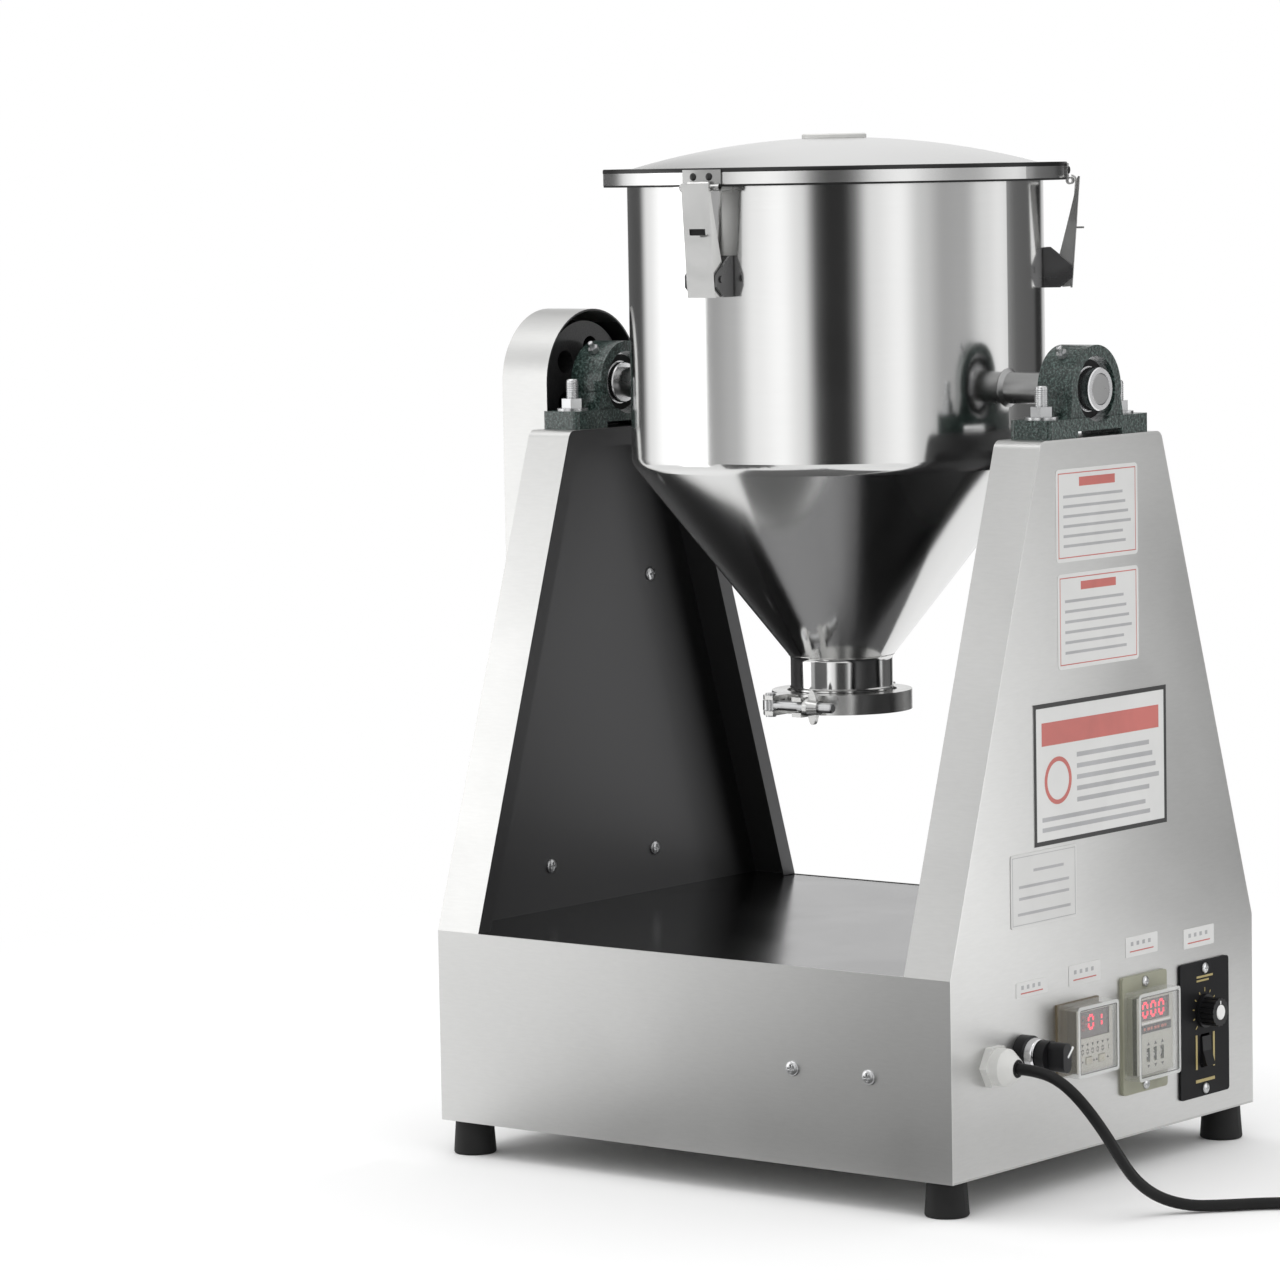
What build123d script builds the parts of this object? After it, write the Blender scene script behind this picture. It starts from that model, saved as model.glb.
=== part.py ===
"""Drum mixer: a double-cone style drum on two pillow blocks over a folded sheet base.

Millimetres, +Z up. The origin is on the floor under the crossing of the drum's vertical axis
and the trunnion axis. The front of the machine faces -Y, the controls are on the +X side and
the belt drive is behind a guard on the -X side.
"""
from build123d import *
from math import acos, asin, atan2, cos, degrees, hypot, pi, radians, sin, sqrt, tan
import os

os.makedirs("parts", exist_ok=True)

# Frame of folded sheet
frame_width = 510.0
frame_depth = 426.0
foot_height = 28.0
base_top = 184.0
seat_height = 585.0
pedestal_depth = 168.0
leg_width = 43.0
sheet = 1.5
lip_width = 15.0
top_bend = 8.0
deck_drop = 0.5
seat_plate_thickness = 5.0
touch = 0.05

# Feet and frame screws
foot_inset = 19.0
foot_top_radius = 15.5
foot_bottom_radius = 17.5
foot_recess_radius = 7.0
foot_recess_depth = 14.0
frame_screw_radius = 3.0
frame_screw_head_radius = 6.0
frame_screw_head_height = 3.2
front_screw_insets = (150.0, 77.0)
front_screw_height = 104.0

# Trunnion bearings
shaft_radius = 12.5
bearing_centre_height = 36.5
bearing_inset = 20.5
housing_foot_length = 140.0
housing_foot_width = 38.0
housing_foot_thickness = 15.0
housing_ring_radius = 34.5
housing_ring_width = 32.0
housing_seat_radius = 26.0
housing_pad_length = 44.0
housing_arch_height = 5.0
outer_ring_width = 17.0
inner_ring_radius = 17.0
inner_ring_width = 34.0
inner_ring_offset = 3.0
bearing_bolt_spacing = 105.0
bearing_bolt_radius = 5.0
bearing_bolt_hole_radius = 6.5
bearing_bolt_rise = 26.0
nut_radius = 9.5
nut_height = 8.0
washer_radius = 13.0
washer_thickness = 2.0
running_gap = 0.08

# Drum
drum_radius = 167.5
drum_wall = 2.0
drum_top = 792.0
drum_bottom = 562.0
corner_radius = 14.0
neck_radius = 41.5
neck_length = 34.0
outlet_height = 368.0
mouth_ring_radius = 184.5
mouth_ring_thickness = 4.0
trunnion_weld = 3.0

# Lid
lid_gasket_thickness = 4.0
lid_sheet = 2.0
lid_radius = 186.5
lid_skirt_depth = 12.5
lid_dome_radius = 165.0
lid_dome_rise = 23.0
lid_cap_radius = 26.0
lid_cap_thickness = 3.0

# Latches
latch_count = 3
latch_phase = 3.0
latch_sheet = 1.5
lever_pivot_reach = 17.0
lever_pivot_drop = 80.0
toggle_arm = 9.0
toggle_lead = 1.0
hook_width = 20.0
hook_play = 0.4
knuckle_radius = 2.8
curl_radius = 3.0
curl_bore = 1.8
catch_width = 36.0
catch_drop = 2.5
lever_gap = 0.6
lever_side_gap = 1.5
ear_thickness = 2.0
ear_gap = 0.4
latch_pin_radius = 1.6
rivet_pitch = 15.0
rivet_height = 6.5
rivet_radius = 1.7
pin_stand = 0.6
latch_bracket_rise = 18.0
latch_bracket_drop = 14.0

# Outlet clamp
clamp_radius = 57.0
clamp_height = 16.0
clamp_lip_radius = 44.5
flange_radius = 50.0
flange_edge = 2.8
flange_angle = 20.0
clamp_clearance = 0.3
outlet_gasket_thickness = 2.0
clamp_split = 3.0
bolt_offset = 68.0
clamp_bolt_radius = 4.0
clamp_bolt_length = 62.0
clamp_pin_radius = 3.0
clamp_pin_x = -21.0
nut_seat_radius = 36.0
wing_reach = 14.0

# Belt drive
belt_offset = 19.0
motor_height = 105.0
drum_pulley_radius = 48.0
motor_pulley_radius = 26.0
belt_width = 10.0
belt_thickness = 6.0
belt_flank_angle = 20.0
belt_gap = 0.3
pulley_width = 18.0
motor_shaft_radius = 7.5
gearbox_width = 90.0
gearbox_length = 62.0
motor_radius = 42.0
motor_length = 150.0

# Belt guard
guard_radius = 61.0
guard_depth = 48.0
guard_bottom = 44.0
guard_tab_width = 16.0
guard_tab_height = 34.0
guard_screw_y = 69.5
guard_screw_heights = (220.0, 455.0)

# Controls on the right panel
gland_from_front = 54.0
gland_z = 112.0
gland_radius = 15.0
gland_reach = 24.0
cord_diameter = 9.0
switch_from_front = 94.5
switch_z = 116.0
switch_collar_radius = 14.5
switch_collar_reach = 9.0
switch_ring_radius = 12.5
switch_knob_radius = 12.0
switch_knob_reach = 42.0
counter_from_front = 169.0
counter_z = 118.5
counter_width = 58.0
counter_height = 57.0
counter_case_reach = 8.0
counter_cover_reach = 21.0
timer_from_front = 262.0
timer_z = 109.0
timer_plate_width = 64.0
timer_plate_height = 94.0
timer_plate_thickness = 3.0
timer_cover_width = 60.0
timer_cover_height = 70.0
timer_cover_reach = 17.0
speed_from_front = 351.0
speed_z = 100.0
speed_plate_width = 72.0
speed_plate_height = 110.0
speed_plate_thickness = 2.0
speed_knob_z = 114.0
speed_knob_radius = 11.5
speed_knob_reach = 17.0
rocker_z = 82.0
rocker_width = 13.0
rocker_height = 27.0
case_depth = 38.0
cover_wall = 1.6
cover_gap = 0.3

# Values worked out from the sizes above
half_width = frame_width / 2
half_depth = frame_depth / 2
panel_x = half_width
bearing_x = half_width - bearing_inset
belt_plane_x = -half_width - belt_offset
front_screw_x = [half_width - inset for inset in front_screw_insets]
gland_y = gland_from_front - half_depth
switch_y = switch_from_front - half_depth
counter_y = counter_from_front - half_depth
timer_y = timer_from_front - half_depth
speed_y = speed_from_front - half_depth
neck_top = outlet_height + neck_length
trunnion_height = seat_height + bearing_centre_height
inner_face = half_width - sheet
leg_inner = half_width - leg_width
side_signs = {"left": -1, "right": 1}
shaft_bore = shaft_radius + touch


# Side outline, shared by the panels, the fascias and their lips
with BuildSketch(Plane.YZ) as side_outline:
    with BuildLine():
        Polyline(
            (-half_depth, foot_height),
            (-half_depth, base_top),
            (-pedestal_depth / 2, seat_height),
            (pedestal_depth / 2, seat_height),
            (half_depth, base_top),
            (half_depth, foot_height),
            close=True,
        )
    make_face()
    fillet(side_outline.vertices().group_by(Axis.Y)[-1], radius=top_bend)

with BuildSketch(Plane.YZ) as inner_outline:
    add(side_outline.sketch_local)
    offset(amount=-sheet, kind=Kind.INTERSECTION, mode=Mode.REPLACE)

with BuildSketch(Plane.YZ) as lip_outline:
    add(side_outline.sketch_local)
    offset(amount=-lip_width, kind=Kind.INTERSECTION, mode=Mode.REPLACE)

outline_height = seat_height - foot_height

# Fascias: a base panel, two sloped legs and their lips, each folded from one sheet
for name, facing in (("front_fascia", -1), ("rear_fascia", 1)):
    far_side = (-facing * half_depth / 2, foot_height + outline_height / 2)
    with BuildPart() as fascia:
        with BuildSketch(Plane.YZ):
            add(side_outline.sketch_local)
            add(inner_outline.sketch_local, mode=Mode.SUBTRACT)
            with Locations(far_side):
                Rectangle(half_depth, outline_height + 1, mode=Mode.SUBTRACT)
            with Locations((0, foot_height)):
                Rectangle(frame_depth - 2 * sheet, 4 * sheet, mode=Mode.SUBTRACT)
        extrude(amount=half_width, both=True)
        with BuildSketch(Plane.XZ):
            with Locations((0, base_top)):
                Rectangle(2 * leg_inner, outline_height, align=(Align.CENTER, Align.MIN))
        extrude(amount=frame_depth, both=True, mode=Mode.SUBTRACT)
        with BuildSketch(Plane.YZ.offset(leg_inner)):
            add(side_outline.sketch_local)
            add(lip_outline.sketch_local, mode=Mode.SUBTRACT)
            with Locations((0, base_top)):
                Rectangle(frame_depth, outline_height, align=(Align.CENTER, Align.MAX), mode=Mode.SUBTRACT)
            with Locations(far_side):
                Rectangle(half_depth, outline_height + 1, mode=Mode.SUBTRACT)
        extrude(amount=sheet)
        mirror(about=Plane.YZ)
        if facing < 0:
            with BuildSketch(Plane.XZ.offset(half_depth + 1)):
                with Locations(*[(x, front_screw_height) for x in front_screw_x]):
                    Circle(frame_screw_radius + touch)
            extrude(amount=-4 * sheet, mode=Mode.SUBTRACT)
        with BuildSketch(Plane.XY.offset(seat_height + 1)):
            with Locations(*[(x, facing * bearing_bolt_spacing / 2) for x in (-bearing_x, bearing_x)]):
                Circle(bearing_bolt_radius + touch)
        extrude(amount=-4 * sheet, mode=Mode.SUBTRACT)
    fascia.part.label = name
    export_step(fascia.part, f"parts/{name}.step")

# Side panels between the fascias
for side, sign in side_signs.items():
    with BuildPart() as side_panel:
        with BuildSketch(Plane.YZ.offset(sign * half_width)):
            add(inner_outline.sketch_local)
            if side == "left":
                with Locations((0, motor_height)):
                    Circle(motor_shaft_radius + 6, mode=Mode.SUBTRACT)
                with Locations(*[(s * guard_screw_y, z) for s in (-1, 1) for z in guard_screw_heights]):
                    Circle(frame_screw_radius + touch, mode=Mode.SUBTRACT)
            else:
                with Locations((gland_y, gland_z)):
                    Circle(gland_radius - 4, mode=Mode.SUBTRACT)
                with Locations((switch_y, switch_z)):
                    Circle(switch_ring_radius - 2, mode=Mode.SUBTRACT)
                with Locations((counter_y, counter_z)):
                    Rectangle(counter_width - 10, counter_height - 9, mode=Mode.SUBTRACT)
                with Locations((timer_y, timer_z)):
                    Rectangle(timer_cover_width - 14, timer_cover_height - 10, mode=Mode.SUBTRACT)
                with Locations((speed_y, speed_z)):
                    Rectangle(speed_plate_width - 14, speed_plate_height - 24, mode=Mode.SUBTRACT)
        extrude(amount=-sign * sheet)
    side_panel.part.label = f"side_panel_{side}"
    export_step(side_panel.part, f"parts/side_panel_{side}.step")

# Deck under the drum
with BuildPart() as deck_plate:
    with BuildSketch(Plane.XY.offset(base_top - deck_drop)):
        Rectangle(2 * inner_face, frame_depth - 2 * sheet)
    extrude(amount=-sheet)
deck_plate.part.label = "deck_plate"
export_step(deck_plate.part, "parts/deck_plate.step")

foot_x = half_width - foot_inset
foot_y = half_depth - foot_inset
foot_spots = [(x, y) for x in (-foot_x, foot_x) for y in (-foot_y, foot_y)]

# Bottom pan with the holes of the foot screws
with BuildPart() as bottom_pan:
    with BuildSketch(Plane.XY.offset(foot_height)):
        Rectangle(frame_width, frame_depth - 2 * sheet)
        with Locations(*foot_spots):
            Circle(frame_screw_radius + touch, mode=Mode.SUBTRACT)
    extrude(amount=sheet)
bottom_pan.part.label = "bottom_pan"
export_step(bottom_pan.part, "parts/bottom_pan.step")

# Seat plates under the folded tops of the pedestals
seat_plate_y = pedestal_depth / 2 - top_bend - sheet - 2
bolt_spots = [
    (sx * bearing_x, sy * bearing_bolt_spacing / 2) for sx in (-1, 1) for sy in (-1, 1)
]
with BuildPart() as seat_plates:
    with BuildSketch(Plane.XY.offset(seat_height - sheet)):
        with Locations((-(leg_inner + sheet + inner_face) / 2, 0), ((leg_inner + sheet + inner_face) / 2, 0)):
            Rectangle(inner_face - leg_inner - sheet, 2 * seat_plate_y)
        with Locations(*bolt_spots):
            Circle(bearing_bolt_radius + touch, mode=Mode.SUBTRACT)
    extrude(amount=-seat_plate_thickness)
seat_plates.part.label = "seat_plates"
export_step(seat_plates.part, "parts/seat_plates.step")

# Rubber feet
with BuildPart() as rubber_feet:
    with Locations(*[(x, y, 0) for x, y in foot_spots]):
        Cone(foot_bottom_radius, foot_top_radius, foot_height, align=(Align.CENTER, Align.CENTER, Align.MIN))
    fillet(rubber_feet.edges().filter_by(GeomType.CIRCLE).group_by(Axis.Z)[0], radius=2)
    with BuildSketch(Plane.XY):
        with Locations(*foot_spots):
            Circle(foot_recess_radius)
    extrude(amount=foot_recess_depth, mode=Mode.SUBTRACT)
    with BuildSketch(Plane.XY):
        with Locations(*foot_spots):
            Circle(frame_screw_radius + touch)
    extrude(amount=foot_height, mode=Mode.SUBTRACT)
rubber_feet.part.label = "rubber_feet"
export_step(rubber_feet.part, "parts/rubber_feet.step")


# Frame screws: two in the front, four through the feet, four holding the guard
guard_screw_spots = [(s * guard_screw_y, z) for s in (-1, 1) for z in guard_screw_heights]
screw_seats = (
    [Plane((x, -half_depth, front_screw_height), x_dir=(1, 0, 0), z_dir=(0, -1, 0)) for x in front_screw_x]
    + [Plane((x, y, foot_recess_depth), x_dir=(1, 0, 0), z_dir=(0, 0, -1)) for x, y in foot_spots]
    + [Plane((-inner_face, y, z), x_dir=(0, 1, 0), z_dir=(1, 0, 0)) for y, z in guard_screw_spots]
)
screw_lengths = [14.0] * 2 + [foot_height - foot_recess_depth + 12.0] * 4 + [12.0] * 4
with BuildPart() as frame_screws:
    for seat, length in zip(screw_seats, screw_lengths):
        across = Plane(seat.origin, x_dir=seat.x_dir, z_dir=seat.x_dir.cross(seat.z_dir))
        with BuildSketch(across):
            with BuildLine():
                Polyline(
                    (0, frame_screw_head_height),
                    (0, -length),
                    (frame_screw_radius, -length),
                    (frame_screw_radius, 0),
                    (frame_screw_head_radius, 0),
                    (frame_screw_head_radius, frame_screw_head_height / 3),
                    (frame_screw_head_radius * 2 / 3, frame_screw_head_height),
                    close=True,
                )
            make_face()
        revolve(axis=Axis(seat.origin, seat.z_dir))
frame_screws.part.label = "frame_screws"
export_step(frame_screws.part, "parts/frame_screws.step")

# Pillow block housings
bearing_planes = {side: Plane.YZ.offset(sign * bearing_x) for side, sign in side_signs.items()}
for side, sign in side_signs.items():
    with BuildPart() as pillow_block:
        with BuildSketch(bearing_planes[side]):
            with Locations((0, seat_height)):
                Rectangle(housing_foot_length, housing_foot_thickness, align=(Align.CENTER, Align.MIN))
        extrude(amount=housing_foot_width / 2, both=True)
        fillet(pillow_block.edges().filter_by(Axis.Z), radius=5)
        with BuildSketch(bearing_planes[side]) as web:
            with Locations((0, trunnion_height)):
                Circle(housing_ring_radius)
            with BuildLine():
                Polyline(
                    (-housing_ring_radius - 3, seat_height + housing_foot_thickness - 1),
                    (housing_ring_radius + 3, seat_height + housing_foot_thickness - 1),
                    (housing_ring_radius - 1, trunnion_height - 6),
                    (-housing_ring_radius + 1, trunnion_height - 6),
                    close=True,
                )
            make_face()
        extrude(amount=housing_ring_width / 2, both=True)
        with BuildSketch(bearing_planes[side]):
            with Locations((0, trunnion_height)):
                Circle(housing_seat_radius + touch)
        extrude(amount=housing_foot_width, both=True, mode=Mode.SUBTRACT)
        with BuildSketch(bearing_planes[side]):
            with Locations((0, seat_height)):
                Rectangle(bearing_bolt_spacing - housing_pad_length, housing_arch_height,
                          align=(Align.CENTER, Align.MIN))
        extrude(amount=housing_foot_width, both=True, mode=Mode.SUBTRACT)
        with BuildSketch(Plane.XY.offset(seat_height)):
            with Locations(*[(sign * bearing_x, s * bearing_bolt_spacing / 2) for s in (-1, 1)]):
                SlotOverall(2 * bearing_bolt_hole_radius + 6, 2 * bearing_bolt_hole_radius, rotation=90)
        extrude(amount=housing_foot_thickness + 1, mode=Mode.SUBTRACT)
    pillow_block.part.label = f"pillow_block_{side}"
    export_step(pillow_block.part, f"parts/pillow_block_{side}.step")

# Bearing outer rings with their shields
with BuildPart() as outer_rings:
    for side, sign in side_signs.items():
        with BuildSketch(bearing_planes[side]):
            with Locations((0, trunnion_height)):
                Circle(housing_seat_radius)
                Circle(inner_ring_radius + running_gap, mode=Mode.SUBTRACT)
        extrude(amount=outer_ring_width / 2, both=True)
outer_rings.part.label = "bearing_outer_rings"
export_step(outer_rings.part, "parts/bearing_outer_rings.step")

# Bearing inner rings, longer towards the outside of the machine
with BuildPart() as inner_rings:
    for side, sign in side_signs.items():
        with BuildSketch(Plane.YZ.offset(sign * (bearing_x + inner_ring_offset))):
            with Locations((0, trunnion_height)):
                Circle(inner_ring_radius)
                Circle(shaft_bore, mode=Mode.SUBTRACT)
        extrude(amount=inner_ring_width / 2, both=True)
    chamfer(inner_rings.edges().filter_by(GeomType.CIRCLE).filter_by(
        lambda e: abs(e.radius - inner_ring_radius) < touch / 2), length=0.8)
inner_rings.part.label = "bearing_inner_rings"
export_step(inner_rings.part, "parts/bearing_inner_rings.step")

# Bearing bolts, washers, nuts and grease nipples
bolt_bottom = seat_height - sheet - seat_plate_thickness
foot_top = seat_height + housing_foot_thickness
with BuildPart() as bearing_hardware:
    with BuildSketch(Plane.XY.offset(bolt_bottom)):
        with Locations(*bolt_spots):
            RegularPolygon(nut_radius, 6)
    extrude(amount=-6.5)
    with BuildSketch(Plane.XY.offset(bolt_bottom)):
        with Locations(*bolt_spots):
            Circle(bearing_bolt_radius)
    extrude(amount=foot_top + bearing_bolt_rise - bolt_bottom)
    chamfer(bearing_hardware.edges().filter_by(GeomType.CIRCLE).group_by(Axis.Z)[-1], length=1)
with BuildPart() as bearing_nuts:
    with BuildSketch(Plane.XY.offset(foot_top)):
        with Locations(*bolt_spots):
            Circle(washer_radius)
            Circle(bearing_bolt_radius + touch, mode=Mode.SUBTRACT)
    extrude(amount=washer_thickness)
with BuildPart() as bearing_hex_nuts:
    with BuildSketch(Plane.XY.offset(foot_top + washer_thickness + touch)):
        with Locations(*bolt_spots):
            RegularPolygon(nut_radius, 6)
            Circle(bearing_bolt_radius + touch, mode=Mode.SUBTRACT)
    extrude(amount=nut_height)
nipple_angle = 40.0
nipple_hexagon = 4.5
nipple_root = 4.0
nipple_radius = 2.4
nipple_reach = 6.0
nipples = []
for side, sign in side_signs.items():
    direction = Vector(0, -sin(radians(nipple_angle)), cos(radians(nipple_angle)))
    foot_point = Vector(sign * bearing_x, 0, trunnion_height) + direction * (housing_ring_radius + touch)
    nipple_plane = Plane(foot_point, x_dir=(1, 0, 0), z_dir=direction)
    with BuildPart() as nipple:
        with BuildSketch(nipple_plane):
            RegularPolygon(nipple_hexagon, 6)
        extrude(amount=nipple_root)
        with BuildSketch(nipple_plane.offset(nipple_root)):
            Circle(nipple_radius)
        extrude(amount=nipple_reach)
        fillet(nipple.edges().filter_by(GeomType.CIRCLE).sort_by(Axis(foot_point, direction))[-1],
               radius=nipple_radius / 2)
    nipples.append(nipple.part)
hardware = Compound(
    children=[
        *bearing_hardware.part.solids(),
        *bearing_nuts.part.solids(),
        *bearing_hex_nuts.part.solids(),
        *[solid for piece in nipples for solid in piece.solids()],
    ]
)
hardware.label = "bearing_hardware"
export_step(hardware, "parts/bearing_hardware.step")

# Drum shell: cylinder, cone, neck, ferrule and mouth ring, one weldment turned about the drum axis
flange_slope = tan(radians(flange_angle))
ferrule_root = outlet_height + flange_edge + (flange_radius - neck_radius) * flange_slope
cone_angle = atan2(drum_radius - neck_radius, drum_bottom - neck_top)
with BuildPart() as drum_shell:
    with BuildSketch(Plane.XZ) as drum_section:
        with BuildLine():
            FilletPolyline(
                (neck_radius - drum_wall / 2, outlet_height),
                (neck_radius - drum_wall / 2, neck_top),
                (drum_radius - drum_wall / 2, drum_bottom),
                (drum_radius - drum_wall / 2, drum_top),
                radius=[6, corner_radius],
            )
            offset(amount=drum_wall / 2, side=Side.BOTH)
        make_face()
        with BuildLine():
            Polyline(
                (neck_radius - drum_wall / 2, outlet_height),
                (flange_radius, outlet_height),
                (flange_radius, outlet_height + flange_edge),
                (neck_radius, ferrule_root),
                (neck_radius - drum_wall / 2, ferrule_root),
                close=True,
            )
        make_face()
        with Locations(((drum_radius - drum_wall + mouth_ring_radius) / 2, drum_top - mouth_ring_thickness / 2)):
            Rectangle(mouth_ring_radius - drum_radius + drum_wall, mouth_ring_thickness)
        with Locations((0, outlet_height)):
            Rectangle(2 * flange_radius + 2, 2 * drum_wall, align=(Align.CENTER, Align.MAX), mode=Mode.SUBTRACT)
        with Locations((0, drum_top)):
            Rectangle(2 * mouth_ring_radius, 2 * drum_wall, align=(Align.CENTER, Align.MIN), mode=Mode.SUBTRACT)
    revolve(axis=Axis.Z)
drum_shell.part.label = "drum_shell"
export_step(drum_shell.part, "parts/drum_shell.step")

# Stub shafts welded to the drum wall
shaft_ends = {
    "left": belt_plane_x - pulley_width / 2 - 6,
    "right": bearing_x + inner_ring_offset + inner_ring_width / 2,
}
for side, sign in side_signs.items():
    reach = abs(shaft_ends[side])
    root = drum_radius * cos(asin(shaft_radius / drum_radius)) - 3
    with BuildPart() as stub_shaft:
        with BuildSketch(Plane.XZ) as shaft_section:
            with BuildLine():
                Polyline(
                    (sign * root, trunnion_height),
                    (sign * root, trunnion_height + shaft_radius + trunnion_weld),
                    (sign * drum_radius, trunnion_height + shaft_radius + trunnion_weld),
                    (sign * (drum_radius + trunnion_weld), trunnion_height + shaft_radius),
                    (sign * reach, trunnion_height + shaft_radius),
                    (sign * reach, trunnion_height),
                    close=True,
                )
            make_face()
        revolve(axis=Axis((0, 0, trunnion_height), (1, 0, 0)))
        chamfer(stub_shaft.edges().sort_by(Axis.X)[-1 if sign > 0 else 0], length=1)
        Cylinder(drum_radius + touch, 3 * trunnion_height, mode=Mode.SUBTRACT)
    stub_shaft.part.label = f"stub_shaft_{side}"
    export_step(stub_shaft.part, f"parts/stub_shaft_{side}.step")

# Lid: dome, flat rim and skirt, turned about the drum axis
lid_underside = drum_top + lid_gasket_thickness
lid_top = lid_underside + lid_sheet
lid_skirt_bottom = lid_top - lid_skirt_depth


def dome_arc(rise_from, radius, rise):
    """Three points of the dome's arc from its rim to its crown."""
    sphere = (radius ** 2 + rise ** 2) / (2 * rise)
    mid_height = rise_from + rise - (sphere - sqrt(sphere ** 2 - (radius / 2) ** 2))
    return (radius, rise_from), (radius / 2, mid_height), (0, rise_from + rise)


with BuildPart() as lid:
    with BuildSketch(Plane.XZ):
        with BuildLine():
            ThreePointArc(*reversed(dome_arc(lid_top, lid_dome_radius, lid_dome_rise)))
            Polyline(
                (lid_dome_radius, lid_top),
                (lid_radius, lid_top),
                (lid_radius, lid_skirt_bottom),
                (lid_radius - lid_sheet + 0.5, lid_skirt_bottom),
                (lid_radius - lid_sheet + 0.5, lid_underside),
                (lid_dome_radius, lid_underside),
            )
            ThreePointArc(*dome_arc(lid_underside, lid_dome_radius, lid_dome_rise))
            Line((0, lid_underside + lid_dome_rise), (0, lid_top + lid_dome_rise))
        make_face()
    revolve(axis=Axis.Z)
    fillet(lid.edges().filter_by(GeomType.CIRCLE).filter_by(
        lambda e: abs(e.radius - lid_radius) < touch and e.center().Z > lid_underside), radius=1)
lid.part.label = "lid"
export_step(lid.part, "parts/lid.step")

# Lid gasket on the mouth ring
gasket_inner = drum_radius + 0.5
gasket_outer = mouth_ring_radius - 1.5
with BuildPart() as lid_gasket:
    with BuildSketch(Plane.XY.offset(drum_top)):
        Circle(gasket_outer)
        Circle(gasket_inner, mode=Mode.SUBTRACT)
    extrude(amount=lid_gasket_thickness)
lid_gasket.part.label = "lid_gasket"
export_step(lid_gasket.part, "parts/lid_gasket.step")

# Round cap on the crown of the lid, its underside follows the dome
crown = lid_top + lid_dome_rise
dome_sphere = (lid_dome_radius ** 2 + lid_dome_rise ** 2) / (2 * lid_dome_rise)
cap_edge_drop = dome_sphere - sqrt(dome_sphere ** 2 - lid_cap_radius ** 2)
cap_mid_drop = dome_sphere - sqrt(dome_sphere ** 2 - (lid_cap_radius / 2) ** 2)
with BuildPart() as lid_cap:
    with BuildSketch(Plane.XZ):
        with BuildLine():
            ThreePointArc(
                (0, crown + touch),
                (lid_cap_radius / 2, crown + touch - cap_mid_drop),
                (lid_cap_radius, crown + touch - cap_edge_drop),
            )
            Polyline(
                (lid_cap_radius, crown + touch - cap_edge_drop),
                (lid_cap_radius, crown + lid_cap_thickness - 1),
                (lid_cap_radius - 1, crown + lid_cap_thickness),
                (0, crown + lid_cap_thickness),
                (0, crown + touch),
            )
        make_face()
    revolve(axis=Axis.Z)
lid_cap.part.label = "lid_cap"
export_step(lid_cap.part, "parts/lid_cap.step")

# Latch geometry in the plane of one latch: radius from the drum axis, height above the floor
plate_radius = lid_radius + touch
curl_centre = (plate_radius + latch_sheet / 2 + curl_radius - latch_sheet / 2, lid_skirt_bottom - catch_drop)
lever_pivot_height = drum_top - lever_pivot_drop
lever_pivot = (drum_radius + lever_pivot_reach, lever_pivot_height)
hook_pivot = (lever_pivot[0] + toggle_lead, lever_pivot[1] - toggle_arm)
claw_radius = curl_radius + hook_play + latch_sheet / 2
pivot_to_curl = (curl_centre[0] - hook_pivot[0], curl_centre[1] - hook_pivot[1])
pivot_distance = hypot(*pivot_to_curl)
strap_offset = knuckle_radius - latch_sheet / 2
tangent_reach = claw_radius - strap_offset
claw_start = degrees(atan2(pivot_to_curl[1], pivot_to_curl[0]) - pi + acos(tangent_reach / pivot_distance))
claw_end = 82.0
strap_angle = claw_start + 90.0
strap_direction = (cos(radians(strap_angle)), sin(radians(strap_angle)))
outward = (sin(radians(strap_angle)), -cos(radians(strap_angle)))
strap_length = sqrt(pivot_distance ** 2 - tangent_reach ** 2)
flange_inside = hook_width / 2 + lever_side_gap
flange_outside = flange_inside + latch_sheet
ear_inside = flange_outside + ear_gap
ear_outside = ear_inside + ear_thickness


def along(distance, out):
    """A point given by its distance from the hook pivot, up along the strap and outward."""
    return (
        hook_pivot[0] + distance * strap_direction[0] + out * outward[0],
        hook_pivot[1] + distance * strap_direction[1] + out * outward[1],
    )


def claw_point(angle, side):
    """An edge point of the claw, at an angle about the rolled edge, inside (-1) or outside (1)."""
    reach = claw_radius + side * latch_sheet / 2
    return (
        curl_centre[0] + reach * cos(radians(angle)),
        curl_centre[1] + reach * sin(radians(angle)),
    )


def latch_plane(number, shift=0.0):
    """The plane through the drum axis and a latch: x is outward, y is up."""
    azimuth = radians(latch_phase + number * 360.0 / latch_count)
    radial = Vector(sin(azimuth), -cos(azimuth), 0)
    normal = radial.cross(Vector(0, 0, 1))
    return Plane(normal * shift, x_dir=radial, z_dir=normal)


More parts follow.
